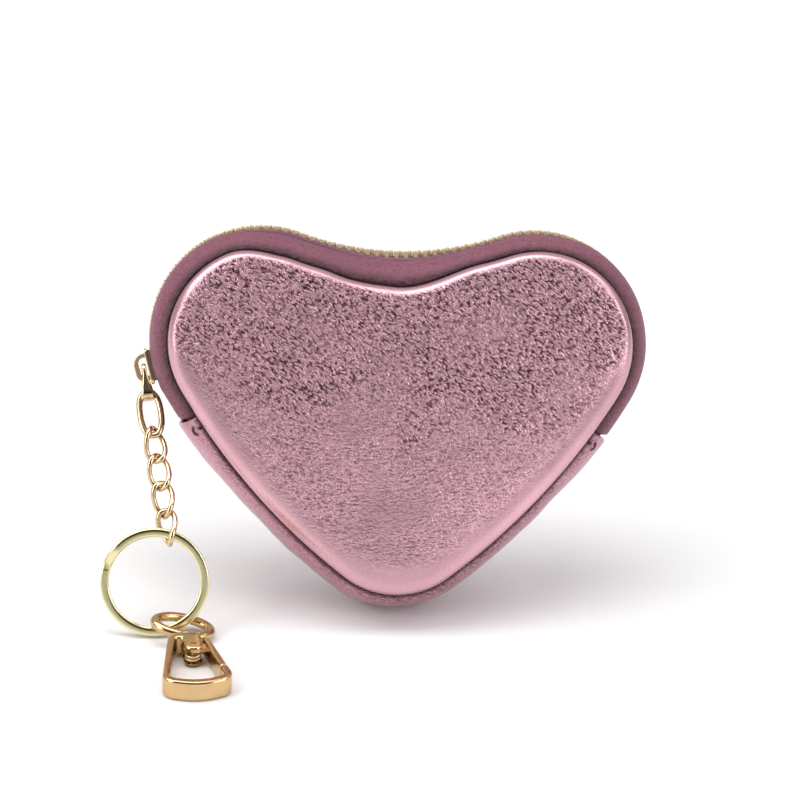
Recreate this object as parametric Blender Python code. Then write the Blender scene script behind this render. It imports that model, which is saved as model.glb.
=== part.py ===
"""Heart-shaped coin purse with a zip, a chain, a split ring and a swivel clasp.

Lengths are in metres, angles in degrees. The purse is built upright in its own axes, X to the
right, Y to the back and Z up from the heart's point, and leans back about the X axis. The world's
origin is the middle of the flat on the back panel.
"""
import math

import bmesh
import bpy
from mathutils import Matrix, Vector

# Heart, measured on the ridge that the zip's teeth follow
HEART_WIDTH = 0.1154
VALLEY_HEIGHT = 0.0830
LOBE_RADIUS = 0.0261
VALLEY_RADIUS = 0.0693
FLANK_RADIUS = 0.1576
POINT_RADIUS = 0.0240
VALLEY_STEPS = 3
LOBE_STEPS = 12
FLANK_STEPS = 5
POINT_STEPS = 5
TUCK_STEPS = 4

# Stance
LEAN = 20
REST_HEIGHT = 0.0480

# Gusset: leather strips between the two panels
SEAM_DEPTH = 0.0105
GUSSET_RISE = 0.0042
LEATHER = 0.0011
SKIVED_EDGE = 0.0007
SEAM_FLANGE = 0.0018
FIT_GAP = 0.0003
STRIP_SINK = 0.0006
STRIP_EDGE = 0.0044
ZIP_END_DROP = 0.0213
GUSSET_OVERLAP = 0.0035
TUCK_RAMP = 0.0040
STRIP_DOME_STEPS = 3
GUSSET_DOME_STEPS = 6

# Padded panels
PANEL_PUFF = 0.0032
PANEL_EDGE_WIDTH = 0.0042
PANEL_EDGE_STEPS = 3
PANEL_CROWN = 0.0005
PANEL_FLAT_INSET = 0.0140
PADDING_EDGE = 0.0015

# Pocket lining
LINING = 0.0005
LINING_CORNER = 0.0068
LINING_RIM_INSET = 0.0049
LINING_RIM_DEPTH = 0.0048

# Zip
TAPE_THICKNESS = 0.0005
TAPE_STEP_DEPTH = 0.0035
TOOTH_PITCH = 0.0022
TOOTH_HEIGHT = 0.0026
TOOTH_ROOT = 0.0025
TOOTH_REACH = 0.0009
TOOTH_ROOT_WIDTH = 0.0010
TOOTH_TIP_WIDTH = 0.0005
CORD_WIDTH = 0.0006
STOP_LENGTH = 0.0024
STOP_WIDTH = 0.0015
CLOSING_LENGTH = 0.0020

# Zip slider
SLIDER_ANGLE = 195
SLIDER_LENGTH = 0.0084
SLIDER_FRONT_HALF = 0.0036
SLIDER_REAR_HALF = 0.0033
SLIDER_PLATE = 0.0008
SLIDER_WALL = 0.0005
WALL_FACE_SHARE = 0.97
SLIDER_CLEARANCE = 0.0003
TRACK_CLEARANCE = 0.0007
WEDGE_LENGTH = 0.0022
WEDGE_HALF = 0.0007
BAIL_LENGTH = 0.0060
BAIL_WIDTH = 0.0014
BAIL_THICKNESS = 0.0009
BAIL_WINDOW = 0.0019
BAIL_CORNER = 0.0015
BAIL_INNER_CORNER = 0.0005

# Pull: a tapered loop of strip between the bail and the oval link
PULL_LENGTH = 0.0088
PULL_SHIFT = 0.0008
PULL_TOP_HALF = 0.0021
PULL_END_HALF = 0.0016
PULL_STRIP = 0.0011
PULL_TOP_DEPTH = 0.0011
PULL_SIDE_DEPTH = 0.0019
PULL_END_DEPTH = 0.0014
PULL_WIDEN_SHARE = 0.5
PULL_NARROW_SHARE = 0.8
PULL_EDGE = 0.000275
PULL_CORNER = 0.0012

# Chain
OVAL_LENGTH = 0.0118
OVAL_WIDTH = 0.0062
OVAL_WIRE = 0.0014
LINK_LENGTH = 0.0090
LINK_WIDTH = 0.0055
LINK_WIRE = 0.00105
LINK_TWIST = 90
LINK_TURN = 20
LINK_TURN_STEP = 21
LINK_COUNT = 4
LINK_SQUARENESS = 2.4
LINK_STEPS = 22
OVAL_STEPS = 24
CHAIN_DRIFT = 9.0
CHAIN_GAP = 0.0003
OVAL_ROOM = 0.0005

# Split ring: two coils of flat wire
RING_DIAMETER = 0.0250
RING_BAND = 0.0020
RING_COIL = 0.0008
RING_COIL_GAP = 0.0003
RING_ROOM = 0.0005
RING_STEP_ANGLE = 26
RING_SPLIT_ANGLE = 150
RING_TILT = 20
RING_CONTACT_ANGLE = 75
RING_STEPS = 48

# Swivel clasp, lying on the floor with its eye round the ring
HOOK_ANGLE = -56
CLASP_YAW = 7
EYE_WIDTH = 0.0154
EYE_LENGTH = 0.0104
EYE_WIRE = 0.0022
EYE_SEAT = 0.0013
EYE_ROLL = 13
EYE_STEPS = 24
CLASP_LENGTH = 0.0236
CLASP_BASE_HALF = 0.0084
CLASP_HEAD_HALF = 0.0047
CLASP_NECK_HALF = 0.0026
CLASP_HEAD = 0.0024
CLASP_BULGE = 0.0028
CLASP_STRIP = 0.0017
CLASP_DEPTH = 0.0050
CLASP_CORNER = 0.0026
CLASP_ROUNDING = 0.0003
CLASP_EDGE_ANGLE = 60
CLASP_INNER_CORNER = 0.0017
CLASP_BELLY = 0.0120
NOSE_LENGTH = 0.0060
NOSE_SLANT_SHARE = 0.85
RIVET_RADIUS = 0.0010
RIVET_HEAD_RADIUS = 0.0014
RIVET_HEAD = 0.0008
COLLAR_RADIUS = 0.0021
COLLAR_LENGTH = 0.0012
PIN_OFFSET = 0.0008
PIN_SETBACK = 0.0032
PIN_RADIUS = 0.0006
PIN_CHAMFER = 0.00015
LUG_RADIUS = 0.0021
LUG_THICKNESS = 0.0006
LUG_CORNER = 0.0019
KNUCKLE_RADIUS = 0.0013
KNUCKLE_CORNER = 0.00125
KNUCKLE_HEIGHT = 0.0009
KNUCKLE_ARM = 0.0016
GATE_STRIP = 0.0015
SPRING_RADIUS = 0.0018
SPRING_WIRE = 0.00035
SPRING_PITCH = 0.00078
SPRING_TURNS = 2
SPRING_LEG = 0.0012

# Small allowances
OVERRUN = 0.0004
ROUND_SIDES = 8
THIN_SIDES = 6
TURN_SIDES = 12
SPRING_SIDES = 5
CORNER_STEPS = 4
FEW_STEPS = 2
STRAIGHT_HALF_ANGLE = 89.5
SMOOTH_ANGLE = 40
SMOOTH_METAL_ANGLE = 35
SMOOTH_TEETH_ANGLE = 30

PINK_FOIL = ("pink_foil", (0.62, 0.36, 0.44), 0.34, 0.75)
MAUVE_LEATHER = ("mauve_leather", (0.36, 0.17, 0.24), 0.55, 0.0)
FOAM = ("foam", (0.80, 0.80, 0.78), 0.90, 0.0)
LINING_CLOTH = ("lining_cloth", (0.45, 0.33, 0.36), 0.85, 0.0)
TAPE_CLOTH = ("tape_cloth", (0.38, 0.20, 0.27), 0.85, 0.0)
ZIP_GOLD = ("zip_gold", (0.78, 0.62, 0.42), 0.30, 1.0)
ROSE_GOLD = ("rose_gold", (0.85, 0.62, 0.38), 0.18, 1.0)
RING_GOLD = ("ring_gold", (0.66, 0.62, 0.33), 0.22, 1.0)


def clear_scene():
    """Remove whatever the scene holds."""
    for item in list(bpy.data.objects):
        bpy.data.objects.remove(item, do_unlink=True)


def material(finish):
    """A Principled material from a finish: name, colour, roughness and metallic value."""
    name, colour, roughness, metallic = finish
    made = bpy.data.materials.new(name)
    made.use_nodes = True
    shader = made.node_tree.nodes["Principled BSDF"]
    shader.inputs["Base Color"].default_value = (*colour, 1)
    shader.inputs["Roughness"].default_value = roughness
    shader.inputs["Metallic"].default_value = metallic
    return made


def polar(radius, angle):
    """The point of a circle about the origin at an angle from +X."""
    return Vector((radius * math.cos(math.radians(angle)), radius * math.sin(math.radians(angle))))


def heading(vector):
    """The angle of a flat vector from +X."""
    return math.degrees(math.atan2(vector.y, vector.x))


def blend(low, high, share):
    """The value a share of the way from low to high."""
    return low + (high - low) * share


# Heart outline

def circles_meet(first, first_radius, second, second_radius):
    """The left one of the two points where two circles meet."""
    apart = second - first
    span = apart.length
    along = (first_radius ** 2 - second_radius ** 2 + span ** 2) / (2 * span)
    across = math.sqrt(first_radius ** 2 - along ** 2)
    direction = apart / span
    middle = first + direction * along
    offset = Vector((-direction.y, direction.x)) * across
    return min(middle + offset, middle - offset, key=lambda point: point.x)


def lobe_centre():
    """Centre of the right lobe, whose circle touches the valley's arc."""
    spread = HEART_WIDTH / 2 - LOBE_RADIUS
    reach = VALLEY_RADIUS + LOBE_RADIUS
    return Vector((spread, VALLEY_HEIGHT + VALLEY_RADIUS - math.sqrt(reach ** 2 - spread ** 2)))


def flank_centre():
    """Centre of the long arc that joins the right lobe to the point."""
    point = Vector((0, POINT_RADIUS))
    return circles_meet(lobe_centre(), FLANK_RADIUS - LOBE_RADIUS, point, FLANK_RADIUS - POINT_RADIUS)


def flank_angle(height):
    """The angle on the flank's arc at a height above the point."""
    return math.degrees(math.asin((height - flank_centre().y) / FLANK_RADIUS))


def zip_end():
    """Height of the bottom gusset's ends, a set drop below the lobes' centres."""
    return lobe_centre().y - ZIP_END_DROP


def heart_arcs(flank_top=None, flank_end=None):
    """The right half's arcs: centre, radius, first angle, last angle, and -1 where it is hollow."""
    valley = Vector((0, VALLEY_HEIGHT + VALLEY_RADIUS))
    lobe = lobe_centre()
    flank = flank_centre()
    point = Vector((0, POINT_RADIUS))
    top = heading(lobe - flank) if flank_top is None else flank_angle(flank_top)
    end = heading(point - flank) if flank_end is None else flank_angle(flank_end)
    return {
        "valley": (valley, VALLEY_RADIUS, -90, heading(lobe - valley), -1),
        "lobe": (lobe, LOBE_RADIUS, heading(valley - lobe), heading(lobe - flank), 1),
        "flank": (flank, FLANK_RADIUS, top, end, 1),
        "point": (point, POINT_RADIUS, heading(point - flank), -90, 1),
    }


def arc_station(arc, share):
    """A station, its point and outward normal, a share of the way along an arc."""
    centre, radius, first, last, side = arc
    outward = polar(1, blend(first, last, share))
    return centre + outward * radius, outward * side


def stations_along(arcs, counts):
    """Stations along arcs in turn, with the end of the last one."""
    stations = [arc_station(arc, step / count) for arc, count in zip(arcs, counts) for step in range(count)]
    return stations + [arc_station(arcs[-1], 1)]


def mirrored(stations):
    """The same stations on the left side."""
    return [(Vector((-spot.x, spot.y)), Vector((-normal.x, normal.y))) for spot, normal in stations]


def whole_heart():
    """Stations all the way round, clockwise from the valley."""
    arcs = heart_arcs()
    counts = (VALLEY_STEPS, LOBE_STEPS, FLANK_STEPS, POINT_STEPS)
    right = stations_along([arcs[name] for name in ("valley", "lobe", "flank", "point")], counts)
    return right + list(reversed(mirrored(right)[1:-1]))


def zip_distances():
    """Distances along the ridge of the zip run's stations, from its left end to its right end."""
    arcs = heart_arcs(flank_end=zip_end() - GUSSET_OVERLAP)
    right = [0]
    for name, count in (("valley", VALLEY_STEPS), ("lobe", LOBE_STEPS), ("flank", TUCK_STEPS)):
        start = right[-1]
        right += [start + arc_length(arcs[name]) * step / count for step in range(1, count + 1)]
    closings = [sign * start for sign, start in closing_starts()]
    closings += [sign * (start + CLOSING_LENGTH) for sign, start in closing_starts()]
    reach = right[-1]
    inside = [distance for distance in closings if abs(distance) < reach]
    return sorted([-distance for distance in right[1:]] + right + inside)


def zip_stations():
    """Each station of the zip's run, with how far the tapes close over the middle there, as a share."""
    found = []
    for distance in zip_distances():
        shares = [(sign * distance - start) / CLOSING_LENGTH for sign, start in closing_starts()]
        found.append((ridge_station(distance), min(max(*shares, 0), 1)))
    return found


def lower_heart():
    """Stations of the bottom gusset, from its right end round the point to its left end."""
    arcs = heart_arcs(flank_top=zip_end())
    right = stations_along([arcs[name] for name in ("flank", "point")], (FLANK_STEPS, POINT_STEPS))
    return right + list(reversed(mirrored(right)[:-1]))


def arc_length(arc):
    """Length of an arc."""
    return arc[1] * math.radians(abs(arc[3] - arc[2]))


def ridge_station(distance):
    """The station at a distance along the ridge from the valley, to the right where it is positive."""
    left = distance < 0
    left_over = abs(distance)
    arcs = heart_arcs()
    for name in ("valley", "lobe", "flank"):
        arc = arcs[name]
        length = arc_length(arc)
        if left_over <= length or name == "flank":
            break
        left_over -= length
    station = arc_station(arc, left_over / length)
    return mirrored([station])[0] if left else station


def ridge_length(height):
    """Length of the ridge from the valley down to a height on the flank."""
    arcs = heart_arcs(flank_end=height)
    return sum(arc_length(arcs[name]) for name in ("valley", "lobe", "flank"))


def at_station(station, inset, depth):
    """The point at an inset from the ridge and a depth behind the purse's middle."""
    spot, normal = station
    inner = spot - normal * inset
    return Vector((inner.x, depth, inner.y))


# Cross-sections of the gusset, as inset from the ridge and depth from the middle

def tuck(station):
    """How far the zip's strips dive under the bottom gusset's ends at a station."""
    share = (zip_end() + TUCK_RAMP - station[0].y) / TUCK_RAMP
    share = min(max(share, 0), 1)
    return (LEATHER + FIT_GAP) * share * share * (3 - 2 * share)


def dome(angle, sink, below, dip=0):
    """A point of the gusset's arched section, at an angle from its seam and a depth below its face."""
    depth_radius = SEAM_DEPTH - dip
    height_radius = GUSSET_RISE - sink
    sine = math.sin(math.radians(angle))
    cosine = math.cos(math.radians(angle))
    normal = Vector((sine / height_radius, cosine / depth_radius)).normalized()
    inset = GUSSET_RISE + dip - height_radius * sine + normal.x * below
    return Vector((inset, depth_radius * cosine - normal.y * below))


def dome_angle(depth):
    """The angle on the arched section at a depth from the purse's middle."""
    return math.degrees(math.acos(depth / SEAM_DEPTH))


def strip_section(dip):
    """Outline of a zip strip: seam flange, arched face and thinned edge."""
    last = dome_angle(STRIP_EDGE)
    shares = [step / STRIP_DOME_STEPS for step in range(STRIP_DOME_STEPS + 1)]
    face = [dome(last * share, STRIP_SINK, 0, dip) for share in shares]
    back = [dome(last * share, STRIP_SINK, blend(LEATHER, SKIVED_EDGE, share), dip) for share in shares]
    flange = GUSSET_RISE + SEAM_FLANGE
    depth = SEAM_DEPTH - dip
    return [Vector((flange, depth))] + face + back[::-1] + [Vector((flange, depth - LEATHER))]


def gusset_section():
    """Outline of the bottom gusset: a whole arch with a seam flange on both sides."""
    angles = [180 * step / GUSSET_DOME_STEPS for step in range(GUSSET_DOME_STEPS + 1)]
    face = [dome(angle, 0, 0) for angle in angles]
    back = [dome(angle, 0, LEATHER) for angle in angles]
    flange = GUSSET_RISE + SEAM_FLANGE
    start = [Vector((flange, SEAM_DEPTH - LEATHER)), Vector((flange, SEAM_DEPTH))]
    end = [Vector((flange, -SEAM_DEPTH)), Vector((flange, LEATHER - SEAM_DEPTH))]
    return start + face + end + back[::-1]


def tape_section(dip, closing):
    """Outline of a zip tape: flat beside the teeth, then stepping down to run along the strip."""
    middle = TOOTH_HEIGHT / 2
    half = TAPE_THICKNESS / 2
    step = TAPE_STEP_DEPTH * (SEAM_DEPTH - dip) / SEAM_DEPTH
    edge = blend(TOOTH_ROOT + FIT_GAP, FIT_GAP / 2, closing)
    line = [Vector((middle + dip, edge)), Vector((middle + dip, step))]
    for share in (1, (STRIP_DOME_STEPS - 1) / STRIP_DOME_STEPS):
        below = blend(LEATHER, SKIVED_EDGE, share) + FIT_GAP + half
        line.append(dome(dome_angle(STRIP_EDGE) * share, STRIP_SINK, below, dip))
    lift = Vector((half, 0))
    return [point - lift for point in line] + [point + lift for point in reversed(line)]


# Meshes

def new_object(name, mesh, finish, parent=None, matrix=None, smooth=SMOOTH_ANGLE):
    """Link an object for a mesh, with its material, smooth shading and place."""
    made = bpy.data.objects.new(name, mesh)
    bpy.context.scene.collection.objects.link(made)
    mesh.materials.append(material(finish))
    mesh.shade_smooth()
    mesh.set_sharp_from_angle(angle=math.radians(smooth))
    made.parent = parent
    if matrix is not None:
        made.matrix_local = matrix
    return made


def mesh_from(name, build):
    """A mesh from a builder function, with its faces turned outwards."""
    work = bmesh.new()
    build(work)
    bmesh.ops.recalc_face_normals(work, faces=work.faces)
    mesh = bpy.data.meshes.new(name)
    work.to_mesh(mesh)
    work.free()
    return mesh


def skin(work, rings, loop=False):
    """Skin rings of points, each ring closed, into a body with capped ends or one closed loop."""
    rows = [[work.verts.new(point) for point in ring] for ring in rings]
    pairs = list(zip(rows, rows[1:] + rows[:1])) if loop else list(zip(rows, rows[1:]))
    for low, high in pairs:
        for index in range(len(low)):
            after = (index + 1) % len(low)
            work.faces.new((low[index], low[after], high[after], high[index]))
    if not loop:
        work.faces.new(rows[0][::-1])
        work.faces.new(rows[-1])


def prism(work, outline, low, high, place):
    """Raise a flat outline from low to high, each corner put in space by a place function."""
    skin(work, [[place(point, level) for point in outline] for level in (low, high)])


def flat_place(point, level):
    """A point of a flat outline, raised to a level."""
    return Vector((*point, level))


def upright_place(point, level):
    """A point of an upright outline, moved across to a level."""
    return Vector((point.x, level, point.y))


def tube_rings(points, radius, sides, loop):
    """Round rings along a line of points, turned from ring to ring without twist."""
    count = len(points)
    rings = []
    side = None
    for index, point in enumerate(points):
        before = points[index - 1] if index or loop else point
        after = points[(index + 1) % count] if index < count - 1 or loop else point
        along = (after - before).normalized()
        if side is None:
            side = along.orthogonal().normalized()
        side = (side - along * side.dot(along)).normalized()
        other = along.cross(side)
        turns = [polar(radius, 360 * step / sides) for step in range(sides)]
        rings.append([point + side * turn.x + other * turn.y for turn in turns])
    return rings


def closed_tube(work, points, radius, sides):
    """A closed ring of round wire, its first and last rings matched by their nearest corners."""
    rings = tube_rings(points, radius, sides, True)
    last = rings[-1]
    first = rings[0]
    shift = min(range(sides), key=lambda step: (last[step] - first[0]).length)
    ahead = (last[(shift + 1) % sides] - first[1]).length
    behind = (last[shift - 1] - first[1]).length
    direction = 1 if ahead < behind else -1
    rows = [[work.verts.new(point) for point in ring] for ring in rings]
    for low, high in zip(rows, rows[1:]):
        for index in range(sides):
            after = (index + 1) % sides
            work.faces.new((low[index], low[after], high[after], high[index]))
    for index in range(sides):
        low = rows[-1][(shift + direction * index) % sides]
        low_after = rows[-1][(shift + direction * (index + 1)) % sides]
        work.faces.new((low, low_after, rows[0][(index + 1) % sides], rows[0][index]))


def rounded(corners, steps=CORNER_STEPS):
    """A flat outline from corners of x, y and radius, each corner turned into an arc."""
    outline = []
    count = len(corners)
    for index, (x, y, radius) in enumerate(corners):
        corner = Vector((x, y))
        back = (Vector(corners[index - 1][:2]) - corner).normalized()
        ahead = (Vector(corners[(index + 1) % count][:2]) - corner).normalized()
        half = back.angle(ahead) / 2
        if radius <= 0 or half > math.radians(STRAIGHT_HALF_ANGLE):
            outline.append(corner)
            continue
        setback = radius / math.tan(half)
        centre = corner + (back + ahead).normalized() * (radius / math.sin(half))
        start = corner + back * setback - centre
        end = corner + ahead * setback - centre
        sweep = start.angle_signed(end)
        for step in range(steps + 1):
            outline.append(centre + Matrix.Rotation(-sweep * step / steps, 2) @ start)
    return outline


def helper(name, build):
    """A hidden body for a Boolean."""
    made = bpy.data.objects.new(name, mesh_from(name, build))
    bpy.context.scene.collection.objects.link(made)
    made.hide_render = True
    made.display_type = "WIRE"
    return made


def combine(target, other, operation):
    """Join another body to the target, or cut it away, with the helper carried by the target."""
    other.parent = target
    step = target.modifiers.new(other.name, "BOOLEAN")
    step.operation = operation
    step.solver = "EXACT"
    step.object = other


# Purse body

def rolled_edge(inset, width, start, puff, steps):
    """Inset and depth of a panel's rolled edge, from its seam up to its face."""
    turns = [polar(1, 90 * step / steps) for step in range(steps + 1)]
    return [(inset + width * (1 - turn.x), start + puff * turn.y) for turn in turns]


def dish(name, profile, side):
    """A mesh through heart-shaped rings, each at an inset from the ridge and a depth to one side."""
    heart = whole_heart()

    def build(work):
        rings = []
        for inset, depth in profile:
            rings.append([at_station(station, inset, side * depth) for station in heart])
        skin(work, rings)

    return mesh_from(name, build)


def panel(side, name, lean):
    """A padded panel: a dished leather shell, rounded at its edge, with a flat middle."""
    start = SEAM_DEPTH + FIT_GAP
    outer = rolled_edge(GUSSET_RISE, PANEL_EDGE_WIDTH, start, PANEL_PUFF, PANEL_EDGE_STEPS)
    outer.append((PANEL_FLAT_INSET, start + PANEL_PUFF + PANEL_CROWN))
    width = PANEL_EDGE_WIDTH - LEATHER
    inner = rolled_edge(GUSSET_RISE + LEATHER, width, start, PANEL_PUFF - LEATHER, FEW_STEPS)
    return new_object(name, dish(name, outer[::-1] + inner, side), PINK_FOIL, lean)


def padding(side, name, lean):
    """The foam behind a panel, clear of the seam flanges."""
    face = SEAM_DEPTH + PANEL_PUFF - LEATHER
    back = SEAM_DEPTH - LEATHER
    inset = GUSSET_RISE + SEAM_FLANGE + FIT_GAP
    profile = [
        (inset + LEATHER + PADDING_EDGE, face),
        (inset + LEATHER, face - PADDING_EDGE),
        (inset, SEAM_DEPTH),
        (inset, back),
    ]
    return new_object(name, dish(name, profile, side), FOAM, lean)


def lining(side, name, lean):
    """Half of the pocket's lining: a shallow cloth dish whose rim ends beside the zip."""
    wall = SEAM_DEPTH - LEATHER - FIT_GAP
    profile = [
        (LINING_CORNER, wall),
        (LINING_RIM_INSET, LINING_RIM_DEPTH),
        (LINING_RIM_INSET + LINING, LINING_RIM_DEPTH),
        (LINING_CORNER + LINING, wall - LINING),
    ]
    return new_object(name, dish(name, profile, side), LINING_CLOTH, lean)


def zip_strip(side, name, lean):
    """A mauve leather strip from the seam of one panel to the zip."""
    def build(work):
        rings = []
        for station, _ in zip_stations():
            section = strip_section(tuck(station))
            rings.append([at_station(station, point.x, side * point.y) for point in section])
        skin(work, rings)

    return new_object(name, mesh_from(name, build), MAUVE_LEATHER, lean)


def bottom_gusset(lean):
    """The V-shaped strip round the point, over the ends of the zip strips."""
    section = gusset_section()

    def build(work):
        rings = []
        for station in lower_heart():
            rings.append([at_station(station, point.x, point.y) for point in section])
        skin(work, rings)

    return new_object("bottom_gusset", mesh_from("bottom_gusset", build), PINK_FOIL, lean)


# Zip

def zip_tape(side, name, lean):
    """A woven tape, which carries one row of teeth along its edge."""
    def build(work):
        rings = []
        for station, closing in zip_stations():
            section = tape_section(tuck(station), closing)
            rings.append([at_station(station, point.x, side * point.y) for point in section])
        skin(work, rings)

    return new_object(name, mesh_from(name, build), TAPE_CLOTH, lean)


def track_point(station, along, across, height):
    """A point beside the ridge: along the track, across the purse and above the ridge."""
    spot, normal = station
    place = spot + Vector((normal.y, -normal.x)) * along + normal * height
    return Vector((place.x, across, place.y))


def slider_distance():
    """The closed slider's middle, as a distance along the ridge."""
    arcs = heart_arcs()
    valley = arcs["valley"]
    lobe = arcs["lobe"]
    return -arc_length(valley) - LOBE_RADIUS * math.radians(lobe[2] - (180 - SLIDER_ANGLE))


def track_end():
    """Where the teeth end, at the bottom stop."""
    return ridge_length(zip_end() + TUCK_RAMP) - STOP_LENGTH - TOOTH_PITCH


def zip_teeth(side, name, lean):
    """One row of tapered teeth on the tape's corded edge, half a pitch off the other row."""
    start = slider_distance() + TOOTH_PITCH * (side + 1) / 4
    count = int((track_end() - slider_distance()) / TOOTH_PITCH)
    half_root = TOOTH_ROOT_WIDTH / 2
    half_tip = TOOTH_TIP_WIDTH / 2
    outer = side * TOOTH_ROOT
    inner = side * (TOOTH_ROOT - CORD_WIDTH)
    tip = -side * TOOTH_REACH

    def build(work):
        def corner(station, along, across, height):
            return work.verts.new(track_point(station, along, across, height))

        before = None
        for index in range(count):
            station = ridge_station(start + index * TOOTH_PITCH)
            sections = []
            for along in (-half_root, half_root):
                spots = ((outer, 0), (inner, 0), (inner, -TOOTH_HEIGHT), (outer, -TOOTH_HEIGHT))
                sections.append([corner(station, along, across, height) for across, height in spots])
            end = [corner(station, along, tip, height) for along, height in
                   ((-half_tip, 0), (half_tip, 0), (half_tip, -TOOTH_HEIGHT), (-half_tip, -TOOTH_HEIGHT))]
            first, second = sections
            root = [first[1], second[1], second[2], first[2]]
            for step in range(4):
                after = (step + 1) % 4
                work.faces.new((root[step], root[after], end[after], end[step]))
            work.faces.new(end)
            for step in (0, 2, 3):
                after = (step + 1) % 4
                work.faces.new((first[step], first[after], second[after], second[step]))
            if before is None:
                work.faces.new(first)
            else:
                for step in range(4):
                    after = (step + 1) % 4
                    work.faces.new((before[step], before[after], first[after], first[step]))
            before = second
        work.faces.new(before)

    return new_object(name, mesh_from(name, build), ZIP_GOLD, lean, smooth=SMOOTH_TEETH_ANGLE)


def top_stop_distance():
    """The top stops' middle, in front of the closed slider."""
    return slider_distance() - SLIDER_LENGTH / 2 - STOP_LENGTH / 2 - FIT_GAP


def bottom_stop_distance():
    """The bottom stop's middle, past the last teeth."""
    return track_end() + STOP_LENGTH


def closing_starts():
    """Where the tapes start to close over the middle past the stops: side and distance from the valley."""
    past = STOP_LENGTH / 2 + FIT_GAP
    return [(-1, past - top_stop_distance()), (1, past + bottom_stop_distance())]


def zip_stop(name, distance, low, high, lean):
    """A stop clamped on the tape's edge at a distance along the ridge, from low to high across it."""
    half = STOP_LENGTH / 2
    corners = [
        (-half, low, CORD_WIDTH),
        (half, low, CORD_WIDTH),
        (half, high, CORD_WIDTH),
        (-half, high, CORD_WIDTH),
    ]
    station = ridge_station(distance)

    def build(work):
        prism(work, rounded(corners, FEW_STEPS), -TOOTH_HEIGHT, 0,
              lambda point, level: track_point(station, point.x, point.y, level))

    return new_object(name, mesh_from(name, build), ZIP_GOLD, lean, smooth=SMOOTH_TEETH_ANGLE)


def zip_stops(lean):
    """A top stop on each row in front of the closed slider, and the bottom stop at the far end."""
    top = top_stop_distance()
    inner = TOOTH_ROOT - STOP_WIDTH
    zip_stop("front_top_stop", top, -TOOTH_ROOT, -inner, lean)
    zip_stop("back_top_stop", top, inner, TOOTH_ROOT, lean)
    zip_stop("bottom_stop", bottom_stop_distance(), -TOOTH_ROOT, TOOTH_ROOT, lean)


def slider_frame():
    """Place of the slider in the purse: its origin on the lobe's axis, +Z out through the bail."""
    lobe = lobe_centre()
    turn = Matrix.Rotation(math.radians(90 - SLIDER_ANGLE), 4, "Y")
    return Matrix.Translation((-lobe.x, 0, lobe.y)) @ turn


def slider_body(lean):
    """The slider: outer and inner plates, channel walls, a wedge between the rows, and the bail."""
    half_length = SLIDER_LENGTH / 2
    ridge = LOBE_RADIUS

    def plate(work, low, high):
        corners = [
            (-half_length, -SLIDER_FRONT_HALF, SLIDER_PLATE),
            (-half_length, SLIDER_FRONT_HALF, SLIDER_PLATE),
            (half_length, SLIDER_REAR_HALF, SLIDER_PLATE),
            (half_length, -SLIDER_REAR_HALF, SLIDER_PLATE),
        ]
        prism(work, rounded(corners), ridge + low, ridge + high, flat_place)

    seat = SLIDER_CLEARANCE
    floor = -TOOTH_HEIGHT - TRACK_CLEARANCE
    tape_top = -TOOTH_HEIGHT / 2 + TAPE_THICKNESS / 2 + FIT_GAP
    tape_foot = -TOOTH_HEIGHT / 2 - TAPE_THICKNESS / 2 - TRACK_CLEARANCE + FIT_GAP / 2

    def outer(work):
        plate(work, seat, seat + SLIDER_PLATE)

    def inner(work):
        plate(work, floor - SLIDER_PLATE, floor)

    def walls(work):
        for side in (-1, 1):
            for low, high in ((tape_top, seat + SLIDER_PLATE / 2), (floor - SLIDER_PLATE / 2, tape_foot)):
                corners = [
                    Vector((SLIDER_PLATE - half_length, side * (SLIDER_FRONT_HALF - SLIDER_WALL))),
                    Vector((half_length - SLIDER_PLATE, side * (SLIDER_REAR_HALF - SLIDER_WALL))),
                    Vector((half_length - SLIDER_PLATE, side * SLIDER_REAR_HALF * WALL_FACE_SHARE)),
                    Vector((SLIDER_PLATE - half_length, side * SLIDER_FRONT_HALF * WALL_FACE_SHARE)),
                ]
                prism(work, corners, ridge + low, ridge + high, flat_place)

    def wedge(work):
        middle = WEDGE_LENGTH / 2 + WEDGE_HALF - half_length
        corners = [
            (middle - WEDGE_LENGTH / 2, 0, WEDGE_HALF / 2),
            (middle, WEDGE_HALF, WEDGE_HALF / 2),
            (middle + WEDGE_LENGTH / 2, 0, WEDGE_HALF / 2),
            (middle, -WEDGE_HALF, WEDGE_HALF / 2),
        ]
        top = seat + SLIDER_PLATE / 2
        bottom = floor - SLIDER_PLATE / 2
        prism(work, rounded(corners, FEW_STEPS), ridge + bottom, ridge + top, flat_place)

    def bail(work):
        foot = ridge + seat + SLIDER_PLATE / 2
        window = ridge + seat + SLIDER_PLATE + BAIL_WINDOW
        half = BAIL_LENGTH / 2
        inner_half = half - BAIL_THICKNESS
        corners = [
            (-half, foot, 0),
            (-half, window + BAIL_THICKNESS, BAIL_CORNER),
            (half, window + BAIL_THICKNESS, BAIL_CORNER),
            (half, foot, 0),
            (inner_half, foot, 0),
            (inner_half, window, BAIL_INNER_CORNER),
            (-inner_half, window, BAIL_INNER_CORNER),
            (-inner_half, foot, 0),
        ]
        reach = BAIL_WIDTH / 2
        prism(work, rounded(corners, FEW_STEPS), -reach, reach, upright_place)

    mesh = mesh_from("slider_body", outer)
    made = new_object("slider_body", mesh, ROSE_GOLD, lean, slider_frame(), SMOOTH_METAL_ANGLE)
    for name, build in (("inner_plate", inner), ("walls", walls), ("wedge", wedge), ("bail", bail)):
        combine(made, helper("slider_" + name, build), "UNION")
    return made


# Chain

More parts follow.
